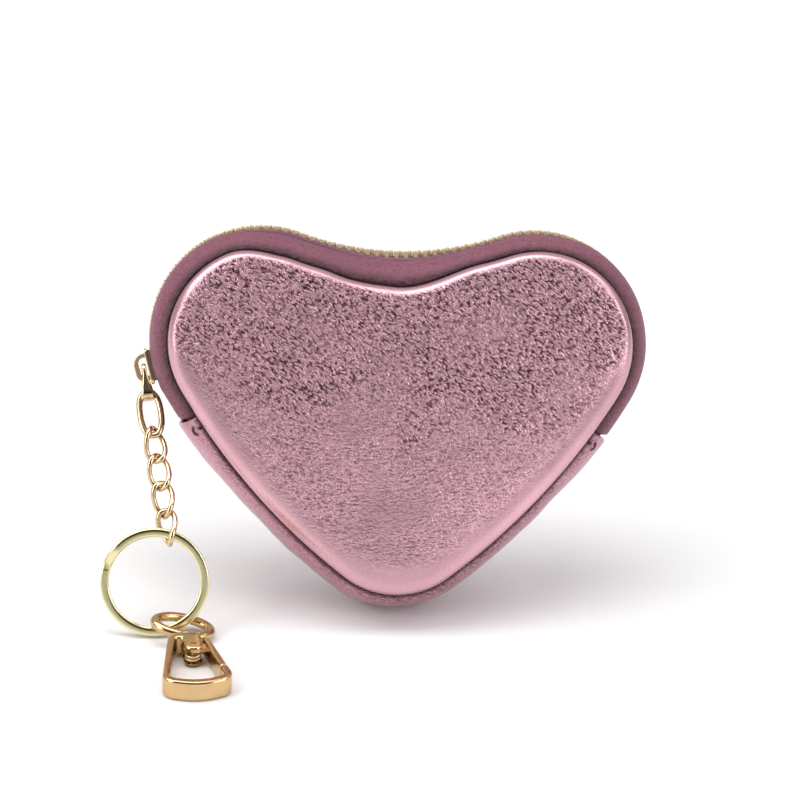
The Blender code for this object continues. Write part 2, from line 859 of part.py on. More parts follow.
def pull_seat():
    """Height of the pull's upper bar above the ridge: hanging in the bail's window, by its outer bar."""
    window = SLIDER_CLEARANCE + SLIDER_PLATE + BAIL_WINDOW
    return window - math.hypot(PULL_STRIP, PULL_TOP_DEPTH) / 2 - CHAIN_GAP / 2


def chain_start(lean):
    """The middle of the pull's upper bar, in the world."""
    return lean.matrix_basis @ slider_frame() @ Vector((0, PULL_SHIFT, LOBE_RADIUS + pull_seat()))


def floor_height(lean):
    """The floor: the lowest point of the leaning bottom gusset."""
    station = arc_station(heart_arcs()["point"], 1)
    points = [at_station(station, point.x, point.y) for point in gusset_section()]
    return min((lean.matrix_basis @ point).z for point in points)


def pull_reach():
    """From the bail's window to the outside of the oval link's upper bar."""
    return PULL_LENGTH - PULL_STRIP - PULL_STRIP / 2 - CHAIN_GAP - OVAL_WIRE


def chain_length():
    """From the bail's window to the middle of the ring's wire, along the drawn chain."""
    lower_bar = link_distance(LINK_COUNT) + LINK_LENGTH - LINK_WIRE - LINK_WIRE / 2
    return lower_bar - RING_ROOM - ring_seat()


def ring_seat():
    """Room that the ring's wire takes inside the last link, from the link's lower bar."""
    return math.hypot(RING_BAND, ring_depth()) / 2


def ring_depth():
    """The ring's size along its axis: two coils and the gap between them."""
    return 2 * RING_COIL + RING_COIL_GAP


def slope(cosine):
    """The angle from plumb of a piece that reaches the floor, or none where it hangs clear of it."""
    return math.acos(min(cosine, 1))


def chain_turn(lean):
    """The drawn chain's attitude: it leans forward until the ring stands on the floor."""
    middle = RING_DIAMETER / 2 - RING_BAND / 2
    below = middle * math.sin(math.radians(RING_CONTACT_ANGLE)) + RING_DIAMETER / 2
    tilt = math.radians(RING_TILT)
    ring_height = below * math.cos(tilt) + ring_depth() / 2 * math.sin(tilt)
    drop = chain_start(lean).z - floor_height(lean) - ring_height
    cosine = drop / (chain_length() * math.cos(math.radians(CHAIN_DRIFT)))
    forward = Matrix.Rotation(-slope(cosine), 4, "X")
    return forward @ Matrix.Rotation(math.radians(-CHAIN_DRIFT), 4, "Y")


def chain_matrix(lean, distance, turn=0):
    """Place at a distance down the chain, +Z back up the chain, turned about it."""
    place = Matrix.Translation(chain_start(lean)) @ chain_turn(lean)
    spin = Matrix.Rotation(math.radians(turn), 4, "Z")
    return place @ Matrix.Translation((0, 0, -distance)) @ spin


def pull_depth(share):
    """Breadth of the pull's strip a share of the way from its upper bar to its lower bar."""
    if share < PULL_WIDEN_SHARE:
        return blend(PULL_TOP_DEPTH, PULL_SIDE_DEPTH, share / PULL_WIDEN_SHARE)
    if share < PULL_NARROW_SHARE:
        return PULL_SIDE_DEPTH
    return blend(PULL_SIDE_DEPTH, PULL_END_DEPTH, (share - PULL_NARROW_SHARE) / (1 - PULL_NARROW_SHARE))


def slider_pull(lean):
    """The pull: a closed loop of strip, narrow in the bail, broader down its sides."""
    end = PULL_STRIP - PULL_LENGTH
    corners = [
        (-PULL_TOP_HALF, 0, PULL_CORNER),
        (PULL_TOP_HALF, 0, PULL_CORNER),
        (PULL_END_HALF, end, PULL_CORNER),
        (-PULL_END_HALF, end, PULL_CORNER),
    ]
    line = rounded(corners)
    count = len(line)

    def build(work):
        rings = []
        for index, point in enumerate(line):
            along = (line[(index + 1) % count] - line[index - 1]).normalized()
            normal = Vector((along.y, -along.x))
            deep = pull_depth(point.y / end) / 2
            thick = PULL_STRIP / 2
            edge = PULL_EDGE
            flat = [(thick, deep - edge), (thick - edge, deep), (edge - thick, deep), (-thick, deep - edge)]
            section = flat + [(-x, -y) for x, y in flat]
            ring = [(point + normal * x, y) for x, y in section]
            rings.append([Vector((y, spot.x, spot.y)) for spot, y in ring])
        skin(work, rings, loop=True)

    mesh = mesh_from("slider_pull", build)
    return new_object("slider_pull", mesh, ROSE_GOLD, None, chain_matrix(lean, 0), SMOOTH_METAL_ANGLE)


def link_line(length, width, wire, twist, steps):
    """Middle line of a link: a squarish oval below its upper bar, twisted about its length."""
    half_length = (length - wire) / 2
    half_width = (width - wire) / 2
    power = 2 / LINK_SQUARENESS
    points = []
    for step in range(steps):
        spot = polar(1, 360 * step / steps)
        across = math.copysign(abs(spot.x) ** power, spot.x) * half_width
        height = math.copysign(abs(spot.y) ** power, spot.y)
        turn = Matrix.Rotation(math.radians(twist / 2 * height), 3, "Z")
        points.append(turn @ Vector((across, 0, 0)) + Vector((0, 0, half_length * (height - 1))))
    return points


def oval_link(lean):
    """The long oval link, in the plane that faces forward."""
    points = link_line(OVAL_LENGTH, OVAL_WIDTH, OVAL_WIRE, 0, OVAL_STEPS)
    matrix = chain_matrix(lean, pull_reach() + OVAL_WIRE / 2)
    mesh = mesh_from("oval_link", lambda work: closed_tube(work, points, OVAL_WIRE / 2, ROUND_SIDES))
    return new_object("oval_link", mesh, ROSE_GOLD, None, matrix)


def link_turn(index):
    """How far the link with this number is turned about the chain, at its middle."""
    return LINK_TURN - (index - 1) * LINK_TURN_STEP


def link_distance(index):
    """The seat of the link with this number: the middle of its own upper bar, down the chain."""
    first = pull_reach() + OVAL_LENGTH - OVAL_WIRE - OVAL_ROOM - LINK_WIRE / 2
    return first + (index - 1) * (LINK_LENGTH - 2 * LINK_WIRE - CHAIN_GAP)


def chain_link(index, lean):
    """A curb link: a rounded loop, twisted a quarter turn from its upper bar to its lower bar."""
    points = link_line(LINK_LENGTH, LINK_WIDTH, LINK_WIRE, LINK_TWIST, LINK_STEPS)
    name = "chain_link_" + str(index)
    matrix = chain_matrix(lean, link_distance(index), link_turn(index))
    mesh = mesh_from(name, lambda work: closed_tube(work, points, LINK_WIRE / 2, THIN_SIDES))
    return new_object(name, mesh, ROSE_GOLD, None, matrix)


# Split ring

def ring_matrix(lean):
    """The ring's joint: the middle of its wire inside the last link, the ring leaning back."""
    seat = chain_matrix(lean, chain_length()).translation
    return Matrix.Translation(seat) @ Matrix.Rotation(math.radians(-RING_TILT), 4, "X")


def ring_centre():
    """The ring's centre from its joint."""
    spoke = polar(RING_DIAMETER / 2 - RING_BAND / 2, RING_CONTACT_ANGLE)
    return Vector((-spoke.x, 0, -spoke.y))


def split_ring(lean):
    """Two coils of flat wire, which step from one layer to the other at the split."""
    middle = RING_DIAMETER / 2 - RING_BAND / 2
    shift = (RING_COIL + RING_COIL_GAP) / 2
    step_half = RING_STEP_ANGLE / 2
    end_gap = math.degrees(RING_COIL / middle)
    first = step_half + end_gap
    last = 720 - first
    band = RING_BAND / 2
    deep = RING_COIL / 2
    soft = RING_COIL / 4
    flat = [(band, deep - soft), (band - soft, deep), (soft - band, deep), (-band, deep - soft)]
    section = flat + [(-x, -y) for x, y in flat]

    def build(work):
        rings = []
        for step in range(RING_STEPS + 1):
            angle = blend(first, last, step / RING_STEPS)
            share = min(max((angle - 360 + step_half) / RING_STEP_ANGLE, 0), 1)
            layer = shift * (2 * share * share * (3 - 2 * share) - 1)
            ring = []
            for out, across in section:
                spot = polar(middle + out, RING_SPLIT_ANGLE + angle)
                ring.append(ring_centre() + Vector((spot.x, layer + across, spot.y)))
            rings.append(ring)
        skin(work, rings)

    mesh = mesh_from("split_ring", build)
    return new_object("split_ring", mesh, RING_GOLD, None, ring_matrix(lean), SMOOTH_METAL_ANGLE)


# Swivel clasp: +Y of its own frame runs from the eye to the tip, +X across, +Z through its depth

def hook_point(lean):
    """The middle of the ring's wire where the clasp's eye hangs on it, in the world."""
    spoke = polar(RING_DIAMETER / 2 - RING_BAND / 2, HOOK_ANGLE)
    return ring_matrix(lean) @ (ring_centre() + Vector((spoke.x, 0, spoke.y)))


def clasp_tip():
    """The clasp's furthest point from the middle of its eye."""
    return EYE_LENGTH / 2 + COLLAR_LENGTH + CLASP_LENGTH


def clasp_matrix(lean):
    """The clasp's place: its eye round the ring, its tip on the floor, pointing forward."""
    seat = hook_point(lean)
    rise = seat.z - floor_height(lean) - CLASP_DEPTH / 2
    lift = math.pi / 2 - slope(rise / (clasp_tip() + EYE_SEAT))
    turn = Matrix.Rotation(math.radians(180 + CLASP_YAW), 4, "Z") @ Matrix.Rotation(-lift, 4, "X")
    over = Matrix.Rotation(math.radians(180), 4, "Y")
    return Matrix.Translation(seat) @ turn @ Matrix.Translation((0, EYE_SEAT, 0)) @ over


def head_start():
    """Where the clasp body's head starts, past the collar."""
    return EYE_LENGTH / 2 + COLLAR_LENGTH


def turning(radius, count=TURN_SIDES):
    """Points of a circle, as corners of a round piece."""
    return [polar(radius, 360 * step / count) for step in range(count)]


def clasp_eye(lean):
    """The oval eye, with the collar and the rivet that the clasp's body turns on."""
    bar = EYE_WIRE / 2
    points = []
    for spot in turning(1, EYE_STEPS):
        points.append(Vector(((EYE_WIDTH / 2 - bar) * spot.x, (EYE_LENGTH / 2 - bar) * spot.y, 0)))
    collar_end = head_start() - FIT_GAP
    head = head_start() + CLASP_HEAD + FIT_GAP
    profile = [
        (RIVET_RADIUS, EYE_LENGTH / 2 - bar),
        (COLLAR_RADIUS, EYE_LENGTH / 2),
        (COLLAR_RADIUS, collar_end),
        (RIVET_RADIUS, collar_end),
        (RIVET_RADIUS, head),
        (RIVET_HEAD_RADIUS, head),
        (RIVET_RADIUS, head + RIVET_HEAD),
    ]

    def rivet(work):
        skin(work, [[upright_place(turn, along) for turn in turning(radius)] for radius, along in profile])

    mesh = mesh_from("clasp_eye", lambda work: closed_tube(work, points, bar, ROUND_SIDES))
    matrix = clasp_matrix(lean) @ Matrix.Rotation(math.radians(-EYE_ROLL), 4, "Y")
    made = new_object("clasp_eye", mesh, ROSE_GOLD, None, matrix)
    combine(made, helper("rivet", rivet), "UNION")
    return made


def limb_half(along):
    """Half width of the clasp's outside at a distance from the eye."""
    share = (along - head_start() - CLASP_HEAD) / (CLASP_LENGTH - CLASP_HEAD - CLASP_BULGE)
    return blend(CLASP_HEAD_HALF, CLASP_BASE_HALF, share)


def pin_place():
    """The gate pin's place across and along the clasp."""
    return Vector((PIN_OFFSET, head_start() + CLASP_HEAD + PIN_SETBACK))


def nose_end():
    """Where the hook's nose ends, along the clasp."""
    return head_start() + CLASP_LENGTH - CLASP_BULGE - NOSE_LENGTH


def clasp_body(lean):
    """The hook: a broad strip from the head round the base to the nose, open at the gate."""
    start = head_start()
    inside = start + CLASP_HEAD
    base = start + CLASP_LENGTH - CLASP_BULGE
    tip = start + CLASP_LENGTH
    nose = nose_end()
    pin = pin_place()
    strip = CLASP_STRIP
    lug = LUG_RADIUS
    inner_base = base - strip
    corners = [
        (limb_half(nose), nose, 0),
        (CLASP_BASE_HALF, base, CLASP_CORNER),
        (0, tip, CLASP_BELLY),
        (-CLASP_BASE_HALF, base, CLASP_CORNER),
        (-CLASP_HEAD_HALF, inside, strip),
        (-CLASP_NECK_HALF, start, strip / 2),
        (CLASP_NECK_HALF, start, strip / 2),
        (CLASP_HEAD_HALF, inside - FIT_GAP, strip / 4),
        (pin.x + lug, inside, 0),
        (pin.x + lug, pin.y + lug, LUG_CORNER),
        (pin.x - lug, pin.y + lug, LUG_CORNER),
        (pin.x - lug, inside, 0),
        (strip - CLASP_HEAD_HALF, inside, strip / 2),
        (strip - limb_half(inner_base), inner_base, CLASP_INNER_CORNER),
        (0, tip - strip, CLASP_BELLY),
        (limb_half(inner_base) - strip, inner_base, CLASP_INNER_CORNER),
        (limb_half(nose) - strip, nose + strip * NOSE_SLANT_SHARE, 0),
    ]
    half = CLASP_DEPTH / 2

    def build(work):
        prism(work, rounded(corners), -half, half, flat_place)

    def bore(work):
        prism(work, turning(RIVET_RADIUS + FIT_GAP), start - OVERRUN, inside + OVERRUN, upright_place)

    def slot(work):
        low = pin - Vector((lug + OVERRUN, 0))
        high = pin + Vector((lug + OVERRUN, lug + OVERRUN))
        outline = [Vector((low.x, inside)), Vector((high.x, inside)), high, Vector((low.x, high.y))]
        reach = half - LUG_THICKNESS
        prism(work, outline, -reach, reach, flat_place)

    def pin_holes(work):
        holes = [pin + turn for turn in turning(PIN_RADIUS + FIT_GAP)]
        prism(work, holes, -half - OVERRUN, half + OVERRUN, flat_place)

    mesh = mesh_from("clasp_body", build)
    made = new_object("clasp_body", mesh, ROSE_GOLD, None, clasp_matrix(lean), SMOOTH_METAL_ANGLE)
    edge = made.modifiers.new("soft_edges", "BEVEL")
    edge.width = CLASP_ROUNDING
    edge.segments = 1
    edge.limit_method = "ANGLE"
    edge.angle_limit = math.radians(CLASP_EDGE_ANGLE)
    for name, cut in (("bore", bore), ("slot", slot), ("pin_holes", pin_holes)):
        combine(made, helper("clasp_" + name, cut), "DIFFERENCE")
    return made


def clasp_gate(lean):
    """The gate: a full-depth arm from the head to the nose, on a knuckle round the pin."""
    pin = pin_place()
    first = head_start() + CLASP_HEAD + FIT_GAP
    last = nose_end() - FIT_GAP
    half = CLASP_DEPTH / 2 - FIT_GAP / 2
    arm = [
        Vector((limb_half(first), first)) - pin,
        Vector((limb_half(last), last)) - pin,
        Vector((limb_half(last) - GATE_STRIP, last + GATE_STRIP * NOSE_SLANT_SHARE)) - pin,
        Vector((limb_half(first) - GATE_STRIP, first)) - pin,
    ]
    reach = limb_half(pin.y) - GATE_STRIP / 2 - pin.x
    knuckle = [
        (-KNUCKLE_RADIUS, -KNUCKLE_RADIUS, KNUCKLE_CORNER),
        (KNUCKLE_RADIUS, -KNUCKLE_RADIUS, KNUCKLE_CORNER / 2),
        (reach, -KNUCKLE_ARM / 2, 0),
        (reach, KNUCKLE_ARM / 2, 0),
        (KNUCKLE_RADIUS, KNUCKLE_RADIUS, KNUCKLE_CORNER / 2),
        (-KNUCKLE_RADIUS, KNUCKLE_RADIUS, KNUCKLE_CORNER),
    ]
    low = LUG_THICKNESS + FIT_GAP - CLASP_DEPTH / 2

    def build(work):
        prism(work, arm, -half, half, flat_place)

    def joint(work):
        prism(work, rounded(knuckle), low, low + KNUCKLE_HEIGHT, flat_place)

    def hole(work):
        prism(work, turning(PIN_RADIUS + FIT_GAP), -half, half, flat_place)

    matrix = clasp_matrix(lean) @ Matrix.Translation((*pin, 0))
    mesh = mesh_from("clasp_gate", build)
    made = new_object("clasp_gate", mesh, ROSE_GOLD, None, matrix, SMOOTH_METAL_ANGLE)
    combine(made, helper("knuckle", joint), "UNION")
    combine(made, helper("knuckle_hole", hole), "DIFFERENCE")
    return made


def clasp_gate_pin(lean):
    """The pin through both lugs and the knuckle, flush with the clasp's faces."""
    half = CLASP_DEPTH / 2
    profile = [
        (PIN_RADIUS - PIN_CHAMFER, -half),
        (PIN_RADIUS, PIN_CHAMFER - half),
        (PIN_RADIUS, half - PIN_CHAMFER),
        (PIN_RADIUS - PIN_CHAMFER, half),
    ]

    def build(work):
        skin(work, [[flat_place(turn, level) for turn in turning(radius)] for radius, level in profile])

    matrix = clasp_matrix(lean) @ Matrix.Translation((*pin_place(), 0))
    return new_object("clasp_gate_pin", mesh_from("clasp_gate_pin", build), ROSE_GOLD, None, matrix)


def spring_line():
    """Middle line of the gate's spring: its turns, then a leg towards the gate."""
    start = LUG_THICKNESS + 2 * FIT_GAP + KNUCKLE_HEIGHT + SPRING_WIRE / 2 - CLASP_DEPTH / 2
    points = []
    for step in range(TURN_SIDES * SPRING_TURNS + 1):
        turn = polar(SPRING_RADIUS - SPRING_WIRE / 2, -90 + 360 * step / TURN_SIDES)
        points.append(flat_place(turn, start + SPRING_PITCH * step / TURN_SIDES))
    points.append(points[-1] + Vector((SPRING_LEG, 0, 0)))
    return points


def spring_gap():
    """The least gap between the spring's turns, measured on its points."""
    points = spring_line()
    pairs = [(a - b).length for index, a in enumerate(points) for b in points[index + TURN_SIDES // 2:]]
    return min(pairs) - SPRING_WIRE


def clasp_gate_spring(lean):
    """The torsion spring round the pin, between the knuckle and the far lug."""
    points = spring_line()
    rings = tube_rings(points, SPRING_WIRE / 2, SPRING_SIDES, False)
    mesh = mesh_from("clasp_gate_spring", lambda work: skin(work, rings))
    matrix = clasp_matrix(lean) @ Matrix.Translation((*pin_place(), 0))
    print("least gap between the gate spring's turns:", round(spring_gap(), 6))
    return new_object("clasp_gate_spring", mesh, ZIP_GOLD, None, matrix)


def lean_frame():
    """The purse's own axes: leaning back about the flat on the back panel, at the world's origin."""
    frame = bpy.data.objects.new("purse_lean", None)
    bpy.context.scene.collection.objects.link(frame)
    turn = Matrix.Rotation(math.radians(-LEAN), 4, "X")
    flat = Vector((0, SEAM_DEPTH + FIT_GAP + PANEL_PUFF + PANEL_CROWN, REST_HEIGHT))
    frame.matrix_basis = turn @ Matrix.Translation(-flat)
    return frame


def main():
    """Build the whole purse."""
    clear_scene()
    lean = lean_frame()
    for side, place in ((-1, "front"), (1, "back")):
        panel(side, place + "_panel", lean)
        padding(side, place + "_padding", lean)
        lining(side, place + "_lining", lean)
        zip_strip(side, place + "_zip_strip", lean)
        zip_tape(side, place + "_zip_tape", lean)
        zip_teeth(side, place + "_zip_teeth", lean)
    bottom_gusset(lean)
    zip_stops(lean)
    slider_body(lean)
    slider_pull(lean)
    oval_link(lean)
    for index in range(1, LINK_COUNT + 1):
        chain_link(index, lean)
    split_ring(lean)
    clasp_eye(lean)
    clasp_body(lean)
    clasp_gate(lean)
    clasp_gate_pin(lean)
    clasp_gate_spring(lean)


main()
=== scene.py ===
"""Looks for the heart-shaped coin purse: leather, zip, chain, ring and clasp on the fixed frame.

Lengths are in metres, angles in degrees. The purse's own axes are X to the right, Y to the back and
Z up from the heart's point, as its frame leans back on the flat of the back panel.
"""
import math

import bmesh
import bpy
from mathutils import Matrix, Vector, noise


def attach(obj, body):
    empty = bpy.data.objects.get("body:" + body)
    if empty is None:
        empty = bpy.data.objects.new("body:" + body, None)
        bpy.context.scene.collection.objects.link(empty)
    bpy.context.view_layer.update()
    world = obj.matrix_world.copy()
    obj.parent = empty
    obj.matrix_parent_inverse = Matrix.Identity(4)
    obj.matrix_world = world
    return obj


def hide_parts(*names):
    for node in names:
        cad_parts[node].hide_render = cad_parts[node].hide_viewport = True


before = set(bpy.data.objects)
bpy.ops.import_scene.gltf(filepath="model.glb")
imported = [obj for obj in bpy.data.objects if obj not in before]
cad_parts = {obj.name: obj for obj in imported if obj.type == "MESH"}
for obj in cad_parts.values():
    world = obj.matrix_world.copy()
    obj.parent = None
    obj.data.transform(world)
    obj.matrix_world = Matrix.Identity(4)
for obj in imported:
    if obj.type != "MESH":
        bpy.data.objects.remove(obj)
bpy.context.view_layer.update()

# Sizes shared with the frame
HEART_WIDTH = 0.1154
VALLEY_HEIGHT = 0.0830
LOBE_RADIUS = 0.0261
VALLEY_RADIUS = 0.0693
FLANK_RADIUS = 0.1576
POINT_RADIUS = 0.0240
LEAN = 20
REST_HEIGHT = 0.0480
SEAM_DEPTH = 0.0105
GUSSET_RISE = 0.0042
LEATHER = 0.0011
FIT_GAP = 0.0003
STRIP_SINK = 0.0006
STRIP_EDGE = 0.0044
ZIP_END_DROP = 0.0213
GUSSET_OVERLAP = 0.0035
TUCK_RAMP = 0.0040
PANEL_PUFF = 0.0032
PANEL_CROWN = 0.0005
LINING_RIM_INSET = 0.0049
LINING_RIM_DEPTH = 0.0048
LINING_CORNER = 0.0068
LINING = 0.0005
TAPE_THICKNESS = 0.0005
TOOTH_PITCH = 0.0022
TOOTH_HEIGHT = 0.0026
TOOTH_ROOT = 0.0025
STOP_LENGTH = 0.0024
SLIDER_ANGLE = 195
SLIDER_LENGTH = 0.0084
SLIDER_FRONT_HALF = 0.0036
SLIDER_REAR_HALF = 0.0033
SLIDER_PLATE = 0.0008
SLIDER_WALL = 0.0005
SLIDER_CLEARANCE = 0.0003
TRACK_CLEARANCE = 0.0007
WEDGE_LENGTH = 0.0022
WEDGE_HALF = 0.0007
BAIL_LENGTH = 0.0060
BAIL_WIDTH = 0.0014
BAIL_THICKNESS = 0.0009
BAIL_WINDOW = 0.0019
PULL_LENGTH = 0.0088
PULL_SHIFT = 0.0008
PULL_STRIP = 0.0011
PULL_TOP_DEPTH = 0.0011
PULL_TOP_HALF = 0.0021
PULL_END_HALF = 0.0016
PULL_CORNER = 0.0012
OVAL_LENGTH = 0.0118
OVAL_WIDTH = 0.0062
OVAL_WIRE = 0.0014
LINK_LENGTH = 0.0090
LINK_WIDTH = 0.0055
LINK_WIRE = 0.00105
LINK_TWIST = 90
LINK_TURN = 20
LINK_TURN_STEP = 21
LINK_COUNT = 4
LINK_SQUARENESS = 2.4
CHAIN_DRIFT = 9.0
CHAIN_GAP = 0.0003
OVAL_ROOM = 0.0005
RING_DIAMETER = 0.0250
RING_BAND = 0.0020
RING_COIL = 0.0008
RING_COIL_GAP = 0.0003
RING_ROOM = 0.0005
RING_STEP_ANGLE = 26
RING_SPLIT_ANGLE = 150
RING_TILT = 20
RING_CONTACT_ANGLE = 75
HOOK_ANGLE = -56
CLASP_YAW = 7
EYE_WIDTH = 0.0154
EYE_LENGTH = 0.0104
EYE_WIRE = 0.0022
EYE_SEAT = 0.0013
EYE_ROLL = 13
CLASP_LENGTH = 0.0236
CLASP_BASE_HALF = 0.0084
CLASP_HEAD_HALF = 0.0047
CLASP_NECK_HALF = 0.0026
CLASP_HEAD = 0.0024
CLASP_BULGE = 0.0028
CLASP_STRIP = 0.0017
CLASP_DEPTH = 0.0050
CLASP_INNER_CORNER = 0.0017
CLASP_BELLY = 0.0120
NOSE_LENGTH = 0.0060
NOSE_SLANT_SHARE = 0.85
RIVET_RADIUS = 0.0010
RIVET_HEAD_RADIUS = 0.0014
RIVET_HEAD = 0.0008
COLLAR_RADIUS = 0.0021
COLLAR_LENGTH = 0.0012
PIN_OFFSET = 0.0008
PIN_SETBACK = 0.0032
PIN_RADIUS = 0.0006
LUG_RADIUS = 0.0021
LUG_THICKNESS = 0.0006
LUG_CORNER = 0.0019
KNUCKLE_RADIUS = 0.0013
KNUCKLE_CORNER = 0.00125
KNUCKLE_HEIGHT = 0.0009
KNUCKLE_ARM = 0.0016
GATE_STRIP = 0.0015
SPRING_PITCH = 0.00078
SPRING_TURNS = 2
SPRING_LEG = 0.0012
FLOOR = -0.0414128

# Camera
AZIMUTH = -4.6
ELEVATION = 25.6
ROLL = 2.9
DISTANCE = 0.9
METRES_PER_PIXEL = 0.000234
POINT_PIXEL = (391.5, 605.3)
IMAGE = 800
SENSOR = 36


def polar(radius, angle):
    angle = math.radians(angle)
    return Vector((radius * math.cos(angle), radius * math.sin(angle)))


def circle(radius, sides, start=0):
    """Points round a circle, from an angle on."""
    return [polar(radius, start + 360 * step / sides) for step in range(sides)]


def squared(point, power, width, height):
    """A point of the unit circle, moved onto the outline of a rounded rectangle."""
    across, up = (math.copysign(abs(value) ** power, value) for value in point)
    return Vector((across * width / 2, up * height / 2))


def turning(angle, axis, size=4):
    return Matrix.Rotation(math.radians(angle), size, axis)


def heading(vector):
    return math.degrees(math.atan2(vector.y, vector.x))


def blend(low, high, share):
    return low + (high - low) * share


def steps(first, last, count):
    """Evenly spaced values, with both ends."""
    return [blend(first, last, step / count) for step in range(count + 1)]


def clamp(share):
    return min(max(share, 0), 1)


def smooth(share):
    share = clamp(share)
    return share * share * (3 - 2 * share)


# Heart outline

def heart_arcs():
    """The right half's arcs: centre, radius, first and last angle, and -1 where it is hollow."""
    spread = HEART_WIDTH / 2 - LOBE_RADIUS
    reach = VALLEY_RADIUS + LOBE_RADIUS
    valley = Vector((0, VALLEY_HEIGHT + VALLEY_RADIUS))
    lobe = Vector((spread, valley.y - math.sqrt(reach ** 2 - spread ** 2)))
    point = Vector((0, POINT_RADIUS))
    first, second = FLANK_RADIUS - LOBE_RADIUS, FLANK_RADIUS - POINT_RADIUS
    apart = point - lobe
    along = (first ** 2 - second ** 2 + apart.length ** 2) / (2 * apart.length)
    across = math.sqrt(first ** 2 - along ** 2)
    direction = apart.normalized()
    flank = lobe + direction * along - Vector((-direction.y, direction.x)) * across
    return [
        (valley, VALLEY_RADIUS, -90, heading(lobe - valley), -1),
        (lobe, LOBE_RADIUS, heading(valley - lobe), heading(lobe - flank), 1),
        (flank, FLANK_RADIUS, heading(lobe - flank), heading(point - flank), 1),
        (point, POINT_RADIUS, heading(point - flank), -90, 1),
    ]


ARCS = heart_arcs()
ARC_LENGTHS = [arc[1] * math.radians(abs(arc[3] - arc[2])) for arc in ARCS]
HALF_LENGTH = sum(ARC_LENGTHS)
LOBE = ARCS[1][0]


def station(distance):
    """Point and outward normal at a distance along the ridge from the valley, + to the right."""
    left_over = abs(distance)
    for arc, length in zip(ARCS, ARC_LENGTHS):
        if left_over <= length or arc is ARCS[-1]:
            break
        left_over -= length
    centre, radius, first, last, side = arc
    outward = polar(1, blend(first, last, left_over / length))
    mirror = Vector((math.copysign(1, distance), 1))
    return (centre + outward * radius) * mirror, outward * side * mirror


def length_to(height):
    """Distance along the ridge from the valley down to a height on the flank."""
    centre, radius, first, _, _ = ARCS[2]
    angle = math.degrees(math.asin((height - centre.y) / radius))
    return ARC_LENGTHS[0] + ARC_LENGTHS[1] + radius * math.radians(first - angle)


ZIP_END_HEIGHT = LOBE.y - ZIP_END_DROP
ZIP_REACH = length_to(ZIP_END_HEIGHT - GUSSET_OVERLAP)
GUSSET_START = length_to(ZIP_END_HEIGHT)
SLIDER_AT = -ARC_LENGTHS[0] - LOBE_RADIUS * math.radians(ARCS[1][2] - (180 - SLIDER_ANGLE))
TRACK_END = length_to(ZIP_END_HEIGHT + TUCK_RAMP) - STOP_LENGTH - TOOTH_PITCH
TOP_STOP_AT = SLIDER_AT - SLIDER_LENGTH / 2 - STOP_LENGTH / 2 - FIT_GAP


def place(spot_and_normal, inset, depth):
    """A point in the purse's axes, at an inset from the ridge and a depth behind the middle."""
    spot, normal = spot_and_normal
    inner = spot - normal * inset
    return Vector((inner.x, depth, inner.y))


LEAN_FLAT = Vector((0, SEAM_DEPTH + FIT_GAP + PANEL_PUFF + PANEL_CROWN, REST_HEIGHT))
PURSE = turning(-LEAN, "X") @ Matrix.Translation(-LEAN_FLAT)
SLIDER = PURSE @ Matrix.Translation((-LOBE.x, 0, LOBE.y)) @ turning(90 - SLIDER_ANGLE, "Y")
VALLEY_SAG = 0.0034
VALLEY_REACH = 0.0175
LOBE_SAG = 0.0018


def valley_sag(distance):
    return VALLEY_SAG * smooth(1 - abs(distance + 0.0005) / VALLEY_REACH)


def seam_sag(distance):
    """How far the soft panels sag away from the ridge, below the valley and over the left lobe."""
    lobe = smooth((-distance - 0.002) / 0.012) * smooth((0.043 + distance) / 0.016)
    return valley_sag(distance) + LOBE_SAG * lobe


# Meshes

def add_item(name, data):
    made = bpy.data.objects.new(name, data)
    bpy.context.scene.collection.objects.link(made)
    return made


def mesh_item(name, work):
    mesh = bpy.data.meshes.new(name)
    work.to_mesh(mesh)
    work.free()
    return add_item(name, mesh)


def add_object(name, work, material, body, matrix, replaced=(), sharp=40):
    """Finish a built mesh, put it in the world, and hang it on its body."""
    bmesh.ops.recalc_face_normals(work, faces=work.faces)
    bmesh.ops.transform(work, matrix=matrix, verts=work.verts)
    made = mesh_item(name, work)
    made.data.materials.append(material)
    made.data.shade_smooth()
    made.data.set_sharp_from_angle(angle=math.radians(sharp))
    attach(made, body)
    if replaced:
        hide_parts(*replaced)
    return made


def skin(work, rings, loop=False, caps=True):
    """Faces between closed rings of points, the last joined to the first in a loop."""
    rows = [[work.verts.new(point) for point in ring] for ring in rings]
    for low, high in zip(rows, rows[1:] + rows[:1] if loop else rows[1:]):
        for index, vert in enumerate(low):
            after = (index + 1) % len(low)
            work.faces.new((vert, low[after], high[after], high[index]))
    if caps and not loop:
        work.faces.new(rows[0][::-1])
        work.faces.new(rows[-1])
    return rows


def shell(rings, loop=False):
    work = bmesh.new()
    skin(work, rings, loop)
    return work


def tube_rings(points, radius, sides, loop):
    """Round rings along a line, turned without twist, and closed smoothly in a loop."""
    padded = points[-1:] + points + points[:1] if loop else points[:1] + points + points[-1:]
    tangents = [(after - before).normalized() for before, after in zip(padded, padded[2:])]
    start = side = tangents[0].orthogonal().normalized()
    frames = []
    for along in tangents + tangents[:1]:
        side = (side - along * side.dot(along)).normalized()
        frames.append(side)
    miss = math.atan2(side.cross(start).dot(tangents[0]), side.dot(start)) if loop else 0
    rings = []
    for index, (point, along, side) in enumerate(zip(points, tangents, frames)):
        across = Matrix.Rotation(miss * index / len(points), 3, along) @ side
        other = along.cross(across)
        turns = circle(radius, sides)
        rings.append([point + across * turn.x + other * turn.y for turn in turns])
    return rings


# Materials

